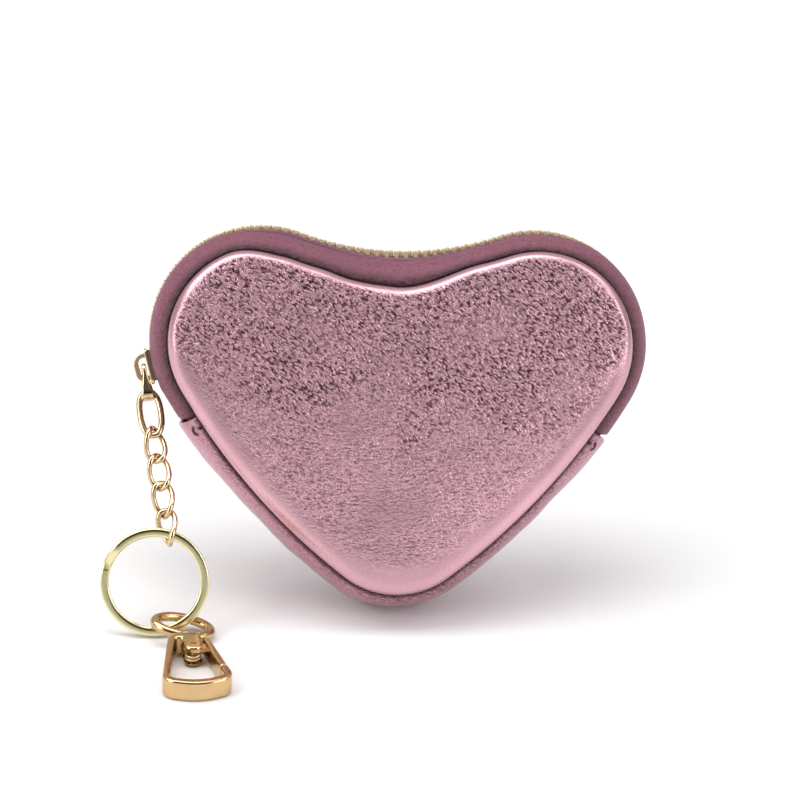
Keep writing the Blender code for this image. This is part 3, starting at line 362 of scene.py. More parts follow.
class Field:
    """A node's output, so that node maths reads as plain maths."""

    def __init__(self, socket):
        self.tree = socket.id_data
        self.socket = socket

    def maths(self, operation, other=0.0):
        return new_field(self.tree, "Math", {0: self, 1: other}, operation=operation)

    def __add__(self, other):
        return self.maths("ADD", other)

    def __sub__(self, other):
        return self.maths("SUBTRACT", other)

    def __mul__(self, other):
        return self.maths("MULTIPLY", other)

    def clamped(self):
        self.socket.node.use_clamp = True
        return self


def feed(socket, value):
    """Set an input to a value, or link it to a field."""
    if isinstance(value, Field):
        value.tree.links.new(value.socket, socket)
    else:
        socket.default_value = (*value, 1) if socket.type == "RGBA" else value


def new_field(tree, kind, inputs, output=0, **settings):
    """An output of a new node of some kind, with its inputs and settings."""
    node = tree.nodes.new("ShaderNode" + kind)
    for name, value in settings.items():
        setattr(node, name, value)
    for key, value in inputs.items():
        feed(node.inputs[key], value)
    return Field(node.outputs[output])


def noise_field(vector, scale, detail=2.0, rough=0.5, output="Fac"):
    inputs = {"Vector": vector, "Scale": scale, "Detail": detail, "Roughness": rough}
    return new_field(vector.tree, "TexNoise", inputs, output)


def cell_field(vector, scale):
    return new_field(vector.tree, "TexVoronoi", {"Vector": vector, "Scale": scale})


def attribute(tree, name):
    return new_field(tree, "Attribute", {}, "Fac", attribute_name=name)


def mix(share, first, second):
    return new_field(share.tree, "Mix", {0: share, 6: first, 7: second}, 2, data_type="RGBA")


def bump(height, strength, distance, below=None):
    """A normal that follows a height field, on top of another normal where one is given."""
    inputs = {"Height": height, "Strength": strength, "Distance": distance}
    if below:
        inputs["Normal"] = below
    return new_field(height.tree, "Bump", inputs)


def warped(vector, scale, amount):
    """Coordinates pushed about by noise, so that cells lose their even look."""
    stir = {0: noise_field(vector, scale, output="Color"), 1: (0.5,) * 3}
    push = new_field(vector.tree, "VectorMath", stir, operation="SUBTRACT")
    inputs = {0: push, 1: (amount,) * 3, 2: vector}
    return new_field(vector.tree, "VectorMath", inputs, operation="MULTIPLY_ADD")


def stretched(vector, scales, tilt=0):
    """Coordinates turned in the panel's face and stretched, so that noise runs in strokes."""
    inputs = {"Vector": vector, "Rotation": (0, math.radians(tilt), 0), "Scale": scales}
    return new_field(vector.tree, "Mapping", inputs, vector_type="TEXTURE")


def crease_lines(field, width):
    """Thin lines where a noise field crosses its middle value."""
    return ((field - 0.5).maths("ABSOLUTE") * (-1 / width) + 1.0).clamped()


def start_material(name, scale=1000):
    """A new node material, and its object coordinates in units of 1 / scale metres."""
    made = bpy.data.materials.new(name)
    made.use_nodes = True
    spot = new_field(made.node_tree, "TexCoord", {}, "Object")
    return made, new_field(made.node_tree, "Mapping", {"Vector": spot, "Scale": (scale,) * 3})


def finish_material(made, colour, rough, normal=None, metallic=0.0, specular=0.5):
    """Feed a material's shader."""
    inputs = made.node_tree.nodes["Principled BSDF"].inputs
    feed(inputs["Base Color"], colour)
    feed(inputs["Roughness"], rough)
    if normal:
        feed(inputs["Normal"], normal)
    inputs["Metallic"].default_value = metallic
    inputs["Specular IOR Level"].default_value = specular
    return made


def foil_leather(name, light, deep, metallic):
    """Metallic foil over crumpled leather: short creases where the surface is grained.

    High up the creases slant, and low down they run level. Painted shade darkens the
    creases, the foil high up and towards the bottom, and the foil beside the seams.
    """
    made, base = start_material(name)
    stirred = warped(base, 0.35, 0.9)
    slant = stretched(stirred, (1.5, 1.0, 0.68), 36)
    level = stretched(stirred, (1.5, 1.0, 0.70), 5)
    patch = noise_field(base, 0.055)
    millimetres_up = new_field(base.tree, "SeparateXYZ", {0: base}, "Z")
    above = (millimetres_up * 0.03 + patch * 2.0 - 0.6).clamped()
    strokes = noise_field(level, 1.45, 1.0)
    crumple = strokes + above * (noise_field(slant, 1.45, 1.0) - strokes)
    fine = noise_field(slant, 2.6, 2.0, 0.55)
    lines = crease_lines(noise_field(slant, 1.05, 1.0), 0.055)
    height = crumple * 1.5 + fine * 0.34 - lines * 0.34
    strength = (attribute(base.tree, "grain") * (patch * 2.4 - 0.38)).clamped()
    pores = noise_field(base, 3.4, 3.0, 0.6)
    normal = bump(height, strength, 0.00031, bump(pores, 0.22, 0.00012))
    # Painted shade: the creases are darkened towards the deep colour where the crumple dips and
    # along the crease lines, as strongly as the grain allows.
    dark = ((above * 0.03 + 0.505 - crumple) * 6.5).clamped()
    dark = (dark.maths("MAXIMUM", lines * 0.8) * (strength * 0.95)).clamped()
    # Painted shade: the foil's colour is made darker towards the bottom and high up.
    low = ((millimetres_up + 12.0) * -0.05).clamped()
    shaded = tuple(value * 0.80 for value in light)
    tone = mix(above, mix(low, light, shaded), shaded)
    # Painted shade beside the seams, as strong as the seam attribute, in a near-black.
    colour = mix(attribute(base.tree, "seam"), mix(dark, tone, deep), (0.05, 0.011, 0.02))
    return finish_material(made, colour, fine * 0.16 + 0.2, normal, metallic)


def mauve_leather():
    """Fine-grained leather with a satin finish, puckered where it is marked as seam, and darkened
    there with painted shade.
    """
    made, base = start_material("mauve_leather")
    cells = cell_field(warped(base, 1.2, 0.5), 2.1)
    pores = noise_field(base, 4.0, 3.0, 0.6)
    pucker = noise_field(stretched(base, (1.4, 0.63, 1.4)), 0.9, 2.0, 0.6)
    seam = attribute(base.tree, "seam")
    grained = bump(cells * -0.6 + pores * 0.5, 0.7, 0.00030)
    colour = mix(noise_field(base, 0.12), (0.205, 0.068, 0.104), (0.262, 0.094, 0.140))
    fleck = ((noise_field(base, 1.5, 2.0, 0.6) - 0.49) * 5.0).clamped()
    colour = mix(fleck, colour, (0.165, 0.034, 0.066))
    colour = mix((cells * 0.4).clamped(), colour, (0.10, 0.034, 0.048))
    # Painted shade in the seam groove, broken up by the puckers.
    colour = mix((seam * (pucker + 0.42)).clamped(), colour, (0.045, 0.014, 0.022))
    normal = bump(pucker, seam * 0.9, 0.00045, grained)
    return finish_material(made, colour, pores * 0.2 + 0.40, normal, specular=0.35)


def cloth(name, light, dark, pitch):
    """Plain weave: two crossed sets of threads."""
    made, base = start_material(name, 1)
    inputs = {"Vector": base, "Scale": 0.314 / pitch, "Distortion": 0.6}
    sets = [new_field(base.tree, "TexWave", inputs, "Fac", bands_direction=axis) for axis in "XZ"]
    weave = sets[0].maths("MAXIMUM", sets[1])
    return finish_material(made, mix(weave, dark, light), 0.85, bump(weave, 0.6, pitch / 4))


def foam_material():
    made, base = start_material("foam")
    cells = cell_field(base, 1.6)
    colour = mix(cells, (0.80, 0.79, 0.74), (0.6, 0.59, 0.55))
    return finish_material(made, colour, 0.9, bump(cells, 0.5, 0.0003))


def metal(name, colour, tarnish, rough):
    """Polished plating with faint clouding and hairline wear."""
    made, base = start_material(name)
    scratch = noise_field(base, 5.0, 4.0, 0.7)
    tone = mix(noise_field(base, 0.35, 3.0) * 0.6, colour, tarnish)
    return finish_material(made, tone, scratch * 0.12 + rough, bump(scratch, 0.12, 0.00004), 1.0)


def thread_material():
    made, base = start_material("dark_thread")
    twist = noise_field(base, 6.0)
    colour = mix(twist, (0.03, 0.015, 0.02), (0.075, 0.035, 0.05))
    return finish_material(made, colour, 0.7, bump(twist, 0.5, 0.0001))


# The second colour of each foil is the near-black of its painted crease shade.
FOIL = foil_leather("pink_foil_leather", (0.71, 0.408, 0.470), (0.060, 0.020, 0.031), 0.9)
# The gusset's foil is the panel's foil with a darker colour as painted shade, and less metal.
SHADED_GUSSET_FOIL = foil_leather("pink_foil_gusset", (0.58, 0.30, 0.368), (0.13, 0.045, 0.062), 0.6)
MAUVE = mauve_leather()
FOAM = foam_material()
LINING_CLOTH = cloth("lining_cloth", (0.42, 0.29, 0.33), (0.24, 0.15, 0.18), 0.0005)
TAPE_CLOTH = cloth("tape_cloth", (0.20, 0.085, 0.125), (0.10, 0.04, 0.06), 0.0004)
ZIP_GOLD = metal("zip_gold", (0.95, 0.80, 0.58), (0.74, 0.58, 0.38), 0.38)
ROSE_GOLD = metal("rose_gold", (0.74, 0.56, 0.36), (0.55, 0.39, 0.22), 0.12)
CLASP_GOLD = metal("clasp_gold", (0.66, 0.46, 0.235), (0.50, 0.31, 0.15), 0.13)
RING_GOLD = metal("ring_gold", (0.84, 0.77, 0.46), (0.64, 0.57, 0.30), 0.14)
THREAD = thread_material()


# Leather panels

PANEL_STATIONS = 320
FOAM_STATIONS = 96
FOAM_CORNER = 0.0012
FOAM_CROWN = 0.0008
LINING_STATIONS = 128
RIM_STEPS = 12
INNER_RINGS = 26
TUCK_UNDER = 0.0007
ROLL_HEIGHT = 0.0009
ROLL_WIDTH = 0.0028
ROLL_POWER = 0.9
FRONT_CROWN = 0.0021
BACK_CROWN = 0.0011
CROWN_WIDTH = 0.026
CROWN_POWER = 2.4
HEART_MIDDLE = Vector((0, 0.0500))
FLAT_INSET = 0.0120
MIDDLE_INSET = 0.0185
FACE_WAVES = (42, 0.00034), (130, 0.00014), (420, 0.00005)


def crown(inset, side):
    """Extra fullness of the panel at an inset from the ridge."""
    share = clamp((inset - GUSSET_RISE) / CROWN_WIDTH)
    return (FRONT_CROWN if side < 0 else BACK_CROWN) * (1 - (1 - share) ** CROWN_POWER)


def panel_profile(shrink):
    """Inset and height of the panel's rolled edge, from the seam up to the face."""
    line = []
    for angle in steps(-70, 90, RIM_STEPS):
        sine, cosine = math.sin(math.radians(angle)), math.cos(math.radians(angle))
        if angle < 0:
            inset = TUCK_UNDER * (1 - cosine) + shrink
            height = ROLL_HEIGHT * (1 + sine)
        else:
            inset = ROLL_WIDTH * (1 - max(cosine, 0) ** ROLL_POWER) + shrink * cosine
            height = ROLL_HEIGHT + (PANEL_PUFF - ROLL_HEIGHT - shrink) * sine ** ROLL_POWER
        line.append((GUSSET_RISE + inset, height))
    return line


def ripple(point, *waves):
    """Noise at a point, from pairs of scale and size."""
    return sum(noise.noise(point.xzy * scale) * size for scale, size in waves)


def grain_at(distance, inset, height):
    """How crumpled the foil is: smooth by the rolled edge, more so on the flanks and low down."""
    flank = smooth((abs(distance) - ARC_LENGTHS[0] - 0.72 * ARC_LENGTHS[1]) / 0.016)
    start = blend(0.0010, 0.0021, flank)
    edge = smooth((inset - GUSSET_RISE - start) / blend(0.0014, 0.0050, flank))
    # Below the top rim the grain goes above one, which gives stronger creases and more painted
    # crease shade there.
    edge *= 1 + 0.9 * (1 - flank) * (1 - smooth((inset - 0.0090) / 0.0090))
    edge *= blend(0.5, 1, smooth((height - 0.012) / 0.045))
    return edge * smooth((height - 0.0085) / 0.007)


def around(count):
    """Evenly spaced distances right round the heart."""
    return steps(-HALF_LENGTH, HALF_LENGTH, count)[:-1]


def drawn_in(point, share, depth):
    """A point drawn in towards the heart's middle, at a depth."""
    flat = HEART_MIDDLE + (point.xz - HEART_MIDDLE) * share
    return Vector((flat.x, depth, flat.y))


def panel_rings(side, shrink=0.0):
    """Rings of a panel's outer or inner face, seam to middle, and how grained each point is."""
    spots = around(PANEL_STATIONS)
    seats = [(station(spot), seam_sag(spot)) for spot in spots]
    face = PANEL_PUFF - shrink
    levels = panel_profile(shrink)
    levels += [(inset, face) for inset in steps(levels[-1][0], FLAT_INSET, 8)[1:]]
    insets, rings = [], []
    for inset, height in levels:
        depth = side * (SEAM_DEPTH + FIT_GAP + height + crown(inset, side))
        insets.append(inset)
        rings.append([place(seat, inset + sag, depth) for seat, sag in seats])
    edge = [place(seat, FLAT_INSET + sag, 0) for seat, sag in seats]
    for share in steps(1, 0, INNER_RINGS)[1:-1]:
        inset = FLAT_INSET + (1 - share) * MIDDLE_INSET
        depth = side * (SEAM_DEPTH + FIT_GAP + face + crown(inset, side))
        insets.append(inset)
        rings.append([drawn_in(point, share, depth) for point in edge])
    grains = []
    for inset, ring in zip(insets, rings):
        grains.append([grain_at(spot, inset, point.z) for spot, point in zip(spots, ring)])
        if not shrink:
            for point, grain in zip(ring, grains[-1]):
                point.y += side * ripple(point, *FACE_WAVES) * (0.2 + 0.8 * min(grain * 1.5, 1))
    return rings, grains


def new_layers(work, *names):
    return [work.verts.layers.float.new(name) for name in names]


def build_panel(side):
    """The leather of one panel, with its turned inner face."""
    outer, grains = panel_rings(side)
    inner = panel_rings(side, LEATHER)[0]
    work = bmesh.new()
    grain_layer, seam_layer = new_layers(work, "grain", "seam")
    rows = skin(work, inner[::-1] + outer, caps=False)
    for row, values in zip(rows[len(inner):], grains):
        for vert, grain in zip(row, values):
            vert[grain_layer] = grain
            # The seam attribute: how much painted shade darkens the foil beside the seam groove.
            vert[seam_layer] = 1 - smooth((abs(vert.co.y) - SEAM_DEPTH - 0.0004) / 0.0018)
    for row in (rows[0], rows[-1]):
        middle = work.verts.new(sum((vert.co for vert in row), Vector()) / len(row))
        middle[grain_layer] = 1.0
        for vert, after in zip(row, row[1:] + row[:1]):
            work.faces.new((vert, after, middle))
    return work


def build_foam(side):
    """The foam behind one panel: a crowned pad with soft edges."""
    seats = [(station(spot), seam_sag(spot)) for spot in around(FOAM_STATIONS)]
    inset = GUSSET_RISE + 0.0021
    face = SEAM_DEPTH + PANEL_PUFF - LEATHER
    profile = [(inset + FOAM_CORNER, SEAM_DEPTH - LEATHER)]
    for angle in (0, 30, 60, 90):
        turn = polar(FOAM_CORNER, angle)
        profile.append((inset + 2 * FOAM_CORNER - turn.x, face - FOAM_CORNER + turn.y))
    rings = [[place(seat, x + sag, side * y) for seat, sag in seats] for x, y in profile]
    edge = [place(seat, inset + sag + 0.004, 0) for seat, sag in seats]
    for share in (1, 0.8, 0.6, 0.4, 0.2):
        depth = side * (face + FOAM_CROWN * (1 - share * share))
        rings.append([drawn_in(point, share, depth) for point in edge])
    return shell(rings)


def build_lining(side):
    """Half of the pocket's cloth lining."""
    seats = [station(spot) for spot in around(LINING_STATIONS)]
    wall = SEAM_DEPTH - LEATHER - FIT_GAP
    profile = (
        (LINING_CORNER + 0.0010, wall),
        (LINING_CORNER, wall - 0.0006),
        (LINING_RIM_INSET, LINING_RIM_DEPTH),
        (LINING_RIM_INSET + LINING, LINING_RIM_DEPTH),
        (LINING_CORNER + LINING, wall - 0.0006 - LINING),
        (LINING_CORNER + LINING + 0.0010, wall - LINING),
    )
    return shell([[place(seat, x, side * y) for seat in seats] for x, y in profile])


# Strips and gusset

VISIBLE_TUCK_RAMP = 0.0013
LEFT_END = GUSSET_START - 0.0018
RIGHT_END = GUSSET_START + 0.0008
STRIP_STEPS = 18
STRIP_LAST = math.degrees(math.acos(STRIP_EDGE / SEAM_DEPTH))
TRACK_RINGS = 260
SWELL = 0.0008
SWELL_START = 0.19
GUSSET_STEPS = 26
GUSSET_RINGS = 200
GUSSET_HEM = 0.0009


def tuck(distance):
    """How far the strips dip before they pass under the gusset's end."""
    end = RIGHT_END if distance > 0 else LEFT_END
    share = (abs(distance) - end + VISIBLE_TUCK_RAMP) / VISIBLE_TUCK_RAMP
    return (LEATHER + FIT_GAP) * smooth(share)


def dome(angle, sink, below, dip=0.0, sag=0.0):
    """A point of the gusset's arch, at an angle from its seam and a depth below its face."""
    depth_radius = SEAM_DEPTH - dip
    height_radius = GUSSET_RISE + sag - sink
    sine, cosine = math.sin(math.radians(angle)), math.cos(math.radians(angle))
    normal = Vector((sine / height_radius, cosine / depth_radius)).normalized()
    inset = GUSSET_RISE + sag + dip - height_radius * sine + normal.x * below
    return Vector((inset, depth_radius * cosine - normal.y * below))


def swell(distance):
    """How far the soft flanks bulge outward."""
    above = smooth((abs(distance) - ARC_LENGTHS[0] - SWELL_START * ARC_LENGTHS[1]) / 0.011)
    return SWELL * above * smooth((GUSSET_START + 0.022 - abs(distance)) / 0.020)


def strip_sink(sag):
    return STRIP_SINK + 0.25 * sag


def strip_line(dip, sag):
    """Outline of a zip strip, with the share of the swell and each point's share of painted shade
    and puckering.

    It dips into the seam, arches over and is turned in beside the zip.
    """
    foot, wall = GUSSET_RISE + sag + dip, SEAM_DEPTH - dip
    shares = steps(0, 1, STRIP_STEPS)

    def arch(angle, below):
        return dome(angle, strip_sink(sag), below, dip, sag)

    outer = [Vector((foot + 0.0012, wall - 0.0009)), Vector((foot + 0.0004, wall - 0.00045))]
    outer += [arch(blend(3, STRIP_LAST, share), 0) for share in shares]
    outer += [arch(STRIP_LAST + 1.6, 0.00016), arch(STRIP_LAST + 2.2, 0.00042)]
    inner = [Vector((foot + 0.0018, wall - 0.0016))]
    inner += [arch(blend(5, STRIP_LAST, share), blend(LEATHER, 0.0009, share)) for share in shares]
    rising = [smooth(1.5 * share) for share in shares]
    rises = [0.0, 0.0, *rising, 1.0, 1.0, *rising[::-1], 0.0]
    # Shares of painted shade, which also set the puckers: full in the seam, fading up the arch, and
    # some on the turned-in edge and inner face.
    shades = [1.0, 1.0, *(1 - smooth(2.0 * share) for share in shares), 0.35, 0.8]
    shades += [0.8] * len(inner)
    return list(zip(outer + inner[::-1], rises, shades))


def build_strip(side):
    """A mauve strip from a panel's seam to the zip."""
    work = bmesh.new()
    seam_layer = new_layers(work, "seam")[0]
    rings = []
    for distance in steps(-ZIP_REACH, ZIP_REACH, TRACK_RINGS):
        seat = station(distance)
        outline = strip_line(tuck(distance), seam_sag(distance))
        ring = []
        for point, rise, shade in outline:
            spot = place(seat, point.x, side * point.y)
            wave = ripple(spot, (90, 0.00012), (320, 0.00007 * shade))
            ring.append(place(seat, point.x + wave - rise * swell(distance), side * point.y))
        rings.append(ring)
    # The seam attribute carries each point's share of painted shade, which the material also uses
    # for the puckers.
    for row in skin(work, rings):
        for vert, (_, _, shade) in zip(row, outline):
            vert[seam_layer] = shade
    return work


def gusset_arch(edge, first, below):
    """One face of the gusset: an arch between the edge points and their mirror images."""
    over = [dome(angle, 0, below) for angle in steps(first, 180 - first, GUSSET_STEPS)]
    return edge + over + [Vector((point.x, -point.y)) for point in edge[::-1]]


def gusset_line():
    """Outline of the bottom gusset, which dips into both seams."""
    lip = ((0.0014, 0.0010), (0.0004, 0.00045))
    edge = [Vector((GUSSET_RISE + inset, SEAM_DEPTH - depth)) for inset, depth in lip]
    inner_edge = [Vector((GUSSET_RISE + 0.0018, SEAM_DEPTH - 0.0017))]
    return gusset_arch(edge, 3, 0) + gusset_arch(inner_edge, 5, 0.0010)[::-1]


def build_gusset():
    """The foil leather strip round the point, whose ends fold over the zip strips."""
    outline = gusset_line()
    length = 2 * HALF_LENGTH - LEFT_END - RIGHT_END
    ends = ((0.0, 0.00042), (0.0002, 0.00016), (0.0005, 0.0))
    middle = steps(GUSSET_HEM, length - GUSSET_HEM, GUSSET_RINGS)
    stops = [*ends, *((travel, 0.0) for travel in middle)]
    stops += [(length - offset, pinch) for offset, pinch in ends[::-1]]
    rings = []
    for travel, pinch in stops:
        distance = RIGHT_END + travel
        if distance > HALF_LENGTH:
            distance -= 2 * HALF_LENGTH
        seat = station(distance)
        ring = []
        for index, point in enumerate(outline):
            spot = place(seat, point.x, point.y)
            wave = ripple(spot, (120, 0.00018), (300, 0.00010)) * smooth((spot.z - 0.001) / 0.008)
            fold = pinch if index < len(outline) / 2 else -pinch
            rise = smooth(1.6 * (1 - abs(point.y) / SEAM_DEPTH)) * swell(distance)
            ring.append(place(seat, point.x + fold + wave - rise, point.y))
        rings.append(ring)
    work = bmesh.new()
    grain_layer, seam_layer = new_layers(work, "grain", "seam")
    back = PURSE.inverted()
    for row in skin(work, rings):
        for vert, point in zip(row, outline):
            vert[grain_layer] = blend(0.12, 0.95, smooth((abs(point.y) - 0.0078) / 0.0022))
            # The seam attribute: painted shade darkening the gusset's foil in its seams.
            vert[seam_layer] = 0.85 * smooth((abs(point.y) / SEAM_DEPTH - 0.945) / 0.05)
            placed = PURSE @ vert.co
            placed.z = max(placed.z, FLOOR)
            vert.co = back @ placed
    add_object("bottom_gusset_leather", work, SHADED_GUSSET_FOIL, "purse", PURSE,
               ("bottom_gusset",), 60)


# Zip

TOOTH_OUTLINE = (
    (2.5, 0.42), (2.3, 0.52), (1.9, 0.52), (1.5, 0.40), (1.1, 0.36), (0.6, 0.42), (0.2, 0.50),
    (-0.3, 0.50), (-0.7, 0.40), (-0.9, 0.22),
)
TOOTH_LEVELS = (
    (-2.60, 0.80), (-2.45, 0.95), (-2.25, 1.0), (-0.40, 1.0), (-0.16, 0.94), (-0.03, 0.80),
    (0.04, 0.55),
)
MM = 0.001
CLOSING_RAMP = 0.0022


def track_point(seat, along, across, height):
    """A point near the ridge: along it, across it and above it."""
    spot, normal = seat
    placed = spot + Vector((normal.y, -normal.x)) * along + normal * height
    return Vector((placed.x, across, placed.y))


def tape_closing(distance):
    """How far the tapes close over the middle past the stops, as a share."""
    left = smooth((TOP_STOP_AT - STOP_LENGTH / 2 - distance) / CLOSING_RAMP)
    return max(left, smooth((distance - TRACK_END - STOP_LENGTH * 1.6) / CLOSING_RAMP))


def build_tape(side):
    """A woven tape with a corded edge, closing over the middle past the stops."""
    half = TAPE_THICKNESS / 2
    below = LEATHER + FIT_GAP + half
    rings = []
    for distance in steps(-ZIP_REACH, ZIP_REACH, TRACK_RINGS):
        seat = station(distance)
        dip, sag, drop = tuck(distance), seam_sag(distance), valley_sag(distance)
        middle = TOOTH_HEIGHT / 2 + dip + 0.2 * drop
        edge = blend(TOOTH_ROOT + 0.00005, 0.0004, tape_closing(distance))
        bend = Vector((middle + 0.1 * drop, 0.0035 * (SEAM_DEPTH - dip) / SEAM_DEPTH))
        line = [(Vector((middle, edge)), 0.0006), (Vector((middle, edge + 0.0005)), 0.0004)]
        line.append((bend, half))
        for share in (1, 0.8, 0.6):
            line.append((dome(STRIP_LAST * share, strip_sink(sag), below, dip, sag), half))
        outline = [(point.x - fat, point.y) for point, fat in line]
        outline += [(point.x + fat, point.y) for point, fat in line[::-1]]
        rings.append([place(seat, inset, side * depth) for inset, depth in outline])
    return shell(rings)


def build_teeth(side):
    """One row of metal teeth, each waisted behind its rounded head."""
    work = bmesh.new()
    offset = TOOTH_PITCH * (side + 1) / 4
    middle = sum(across for across, _ in TOOTH_OUTLINE) / len(TOOTH_OUTLINE)
    for index in range(int((TRACK_END - SLIDER_AT) / TOOTH_PITCH)):
        seat = station(SLIDER_AT + offset + index * TOOTH_PITCH)
        rings = []
        for height, share in TOOTH_LEVELS:
            width = 0.9 + 0.1 * share
            ends = [(blend(middle, across, width), half * share) for across, half in TOOTH_OUTLINE]
            ends += [(across, -half) for across, half in ends[::-1]]
            rings.append([
                track_point(seat, half * MM, side * across * MM, height * MM)
                for across, half in ends
            ])
        skin(work, rings)
    return work


HALVES = (
    (build_panel, "_leather", FOIL, "pink_foil_leather", "_panel", 40),
    (build_foam, "_foam", FOAM, "foam", "_padding", 40),
    (build_lining, "_lining_cloth", LINING_CLOTH, "lining_cloth", "_lining", 40),
    (build_strip, "_zip_leather", MAUVE, "mauve_leather", "_zip_strip", 60),
    (build_tape, "_tape_cloth", TAPE_CLOTH, "tape_cloth", "_zip_tape", 50),
    (build_teeth, "_teeth", ZIP_GOLD, "zip_gold", "_zip_teeth", 35),
)


def build_half(side, name):
    """The purse's pieces on one side of the zip."""
    for build, piece, material, slot, node, sharp in HALVES:
        made = add_object(
            name + piece, build(side), material, "purse", PURSE, (name + node,), sharp)


# Cast pieces

def rounded(corners, arc_steps=10):
    """A flat outline from corners of x, y and radius, each corner turned into an arc."""
    outline = []
    for index, (x, y, radius) in enumerate(corners):
        corner = Vector((x, y))
        back = (Vector(corners[index - 1][:2]) - corner).normalized()
        ahead = (Vector(corners[(index + 1) % len(corners)][:2]) - corner).normalized()
        half = back.angle(ahead) / 2
        if radius <= 0 or half > math.radians(89.5):
            outline.append(corner)
            continue
        setback = radius / math.tan(half)
        centre = corner + (back + ahead).normalized() * (radius / math.sin(half))
        start = corner + back * setback - centre
        sweep = start.angle_signed(corner + ahead * setback - centre)
        for step in range(arc_steps + 1):
            outline.append(centre + Matrix.Rotation(-sweep * step / arc_steps, 2) @ start)
    return outline


def flat_place(point, level):
    return Vector((*point, level))


def upright_place(point, level):
    return Vector((point[0], level, point[1]))


def prism(outline, low, high, placing=flat_place):
    """A body raised from a flat outline, as rings of points."""
    return [[placing(point, level) for point in outline] for level in (low, high)]


def lathe(profile, placing=upright_place, sides=32):
    """A turned body from pairs of radius and height, as rings of points."""
    rounds = [(circle(radius, sides), level) for radius, level in profile]
    return [[placing(point, level) for point in points] for points, level in rounds]


def carved(name, *parts):
    """One mesh from parts of operation, rings and rounding, joined to or cut from the first.

    The first part's operation is None, or LOOP where its last ring joins its first.
    """
    helpers = []
    for index, (operation, rings, width) in enumerate(parts):
        work = shell(rings, operation == "LOOP")
        bmesh.ops.recalc_face_normals(work, faces=work.faces)
        made = mesh_item(f"{name}_{index}", work)
        helpers.append(made)
        if width:
            edge = made.modifiers.new("rounding", "BEVEL")
            edge.width = width
            edge.segments = 4
            edge.use_clamp_overlap = False
            edge.limit_method = "ANGLE"
            edge.angle_limit = math.radians(50)
        if index:
            step = helpers[0].modifiers.new("join", "BOOLEAN")
            step.operation = operation
            step.solver = "EXACT"
            step.object = made
    bpy.context.view_layer.update()
    graph = bpy.context.evaluated_depsgraph_get()
    mesh = bpy.data.meshes.new_from_object(helpers[0].evaluated_get(graph))
    work = bmesh.new()
    work.from_mesh(mesh)
    for helper in helpers:
        bpy.data.objects.remove(helper, do_unlink=True)
    return work


def add_cast(name, work, material, body, matrix, replaced):
    """A cast or stamped piece, whose flats keep even shading between rounded edges."""
    made = add_object(name, work, material, body, matrix, replaced, 30)
    made.modifiers.new("even_shading", "WEIGHTED_NORMAL").keep_sharp = True


def build_slider():
    """The slider: two plates, channel walls, the wedge between the rows and the arched bail."""
    half = SLIDER_LENGTH / 2
    seat = LOBE_RADIUS + SLIDER_CLEARANCE
    floor = LOBE_RADIUS - TOOTH_HEIGHT - TRACK_CLEARANCE
    tape = LOBE_RADIUS - TOOTH_HEIGHT / 2
    tape_top = tape + TAPE_THICKNESS / 2 + FIT_GAP
    tape_foot = tape - TAPE_THICKNESS / 2 - TRACK_CLEARANCE + FIT_GAP / 2
    top, bottom = seat + SLIDER_PLATE / 2, floor - SLIDER_PLATE / 2
    plate = rounded([
        (-half, -SLIDER_FRONT_HALF, 0.0012), (-half, SLIDER_FRONT_HALF, 0.0012),
        (half, SLIDER_REAR_HALF, 0.0008), (half, -SLIDER_REAR_HALF, 0.0008),
    ])
    parts = [
        (None, prism(plate, seat, seat + SLIDER_PLATE), 0.00022),
        ("UNION", prism(plate, floor - SLIDER_PLATE, floor), 0.0002),
    ]
    end = half - SLIDER_PLATE
    for side in (-1, 1):
        wall = [(along, side * across) for along, across in (
            (-end, SLIDER_FRONT_HALF - SLIDER_WALL), (end, SLIDER_REAR_HALF - SLIDER_WALL),
            (end, SLIDER_REAR_HALF * 0.97), (-end, SLIDER_FRONT_HALF * 0.97),
        )]
        for low, high in ((tape_top, top), (bottom, tape_foot)):
            parts.append(("UNION", prism(wall, low, high), 0.0))
    middle = WEDGE_LENGTH / 2 + WEDGE_HALF - half
    wedge = rounded([
        (middle + along * WEDGE_LENGTH / 2, across * WEDGE_HALF, WEDGE_HALF / 2)
        for along, across in ((-1, 0), (0, 1), (1, 0), (0, -1))
    ], 5)
    window = seat + SLIDER_PLATE + BAIL_WINDOW
    reach = BAIL_LENGTH / 2 + 0.0002
    inner = BAIL_LENGTH / 2 - BAIL_THICKNESS
    crest = window + BAIL_THICKNESS + 0.0003
    bail = rounded([
        (-reach, top, 0), (-reach, crest, 0.0017), (reach, crest, 0.0026), (reach, top, 0),
        (inner, top, 0), (inner, window, 0.0012), (-inner, window, 0.0007), (-inner, top, 0),
    ])
    parts += [
        ("UNION", prism(wedge, bottom, top), 0.0),
        ("UNION", prism(bail, -BAIL_WIDTH / 2, BAIL_WIDTH / 2, upright_place), 0.00022),
    ]
    add_cast("slider_casting", carved("slider", *parts), ROSE_GOLD, "slider", SLIDER,
             ("slider_body",))


def build_stops():
    """The crimped stops at both ends of the track."""
    half = STOP_LENGTH / 2
    inner = TOOTH_ROOT - 0.0015
    for name, distance, low, high in (
        ("front_top_stop", TOP_STOP_AT, -TOOTH_ROOT, -inner),
        ("back_top_stop", TOP_STOP_AT, inner, TOOTH_ROOT),
        ("bottom_stop", TRACK_END + STOP_LENGTH, -TOOTH_ROOT, TOOTH_ROOT),
    ):
        corners = (-half, low), (half, low), (half, high), (-half, high)
        outline = rounded([(*corner, 0.0005) for corner in corners], 6)
        seat = station(distance)
        block = [
            [track_point(seat, *point, level) for point in outline] for level in (-TOOTH_HEIGHT, 0)
        ]
        work = carved(name + "_work", (None, block, 0.0003))
        add_cast(name + "_crimp", work, ZIP_GOLD, "purse", PURSE, (name,))


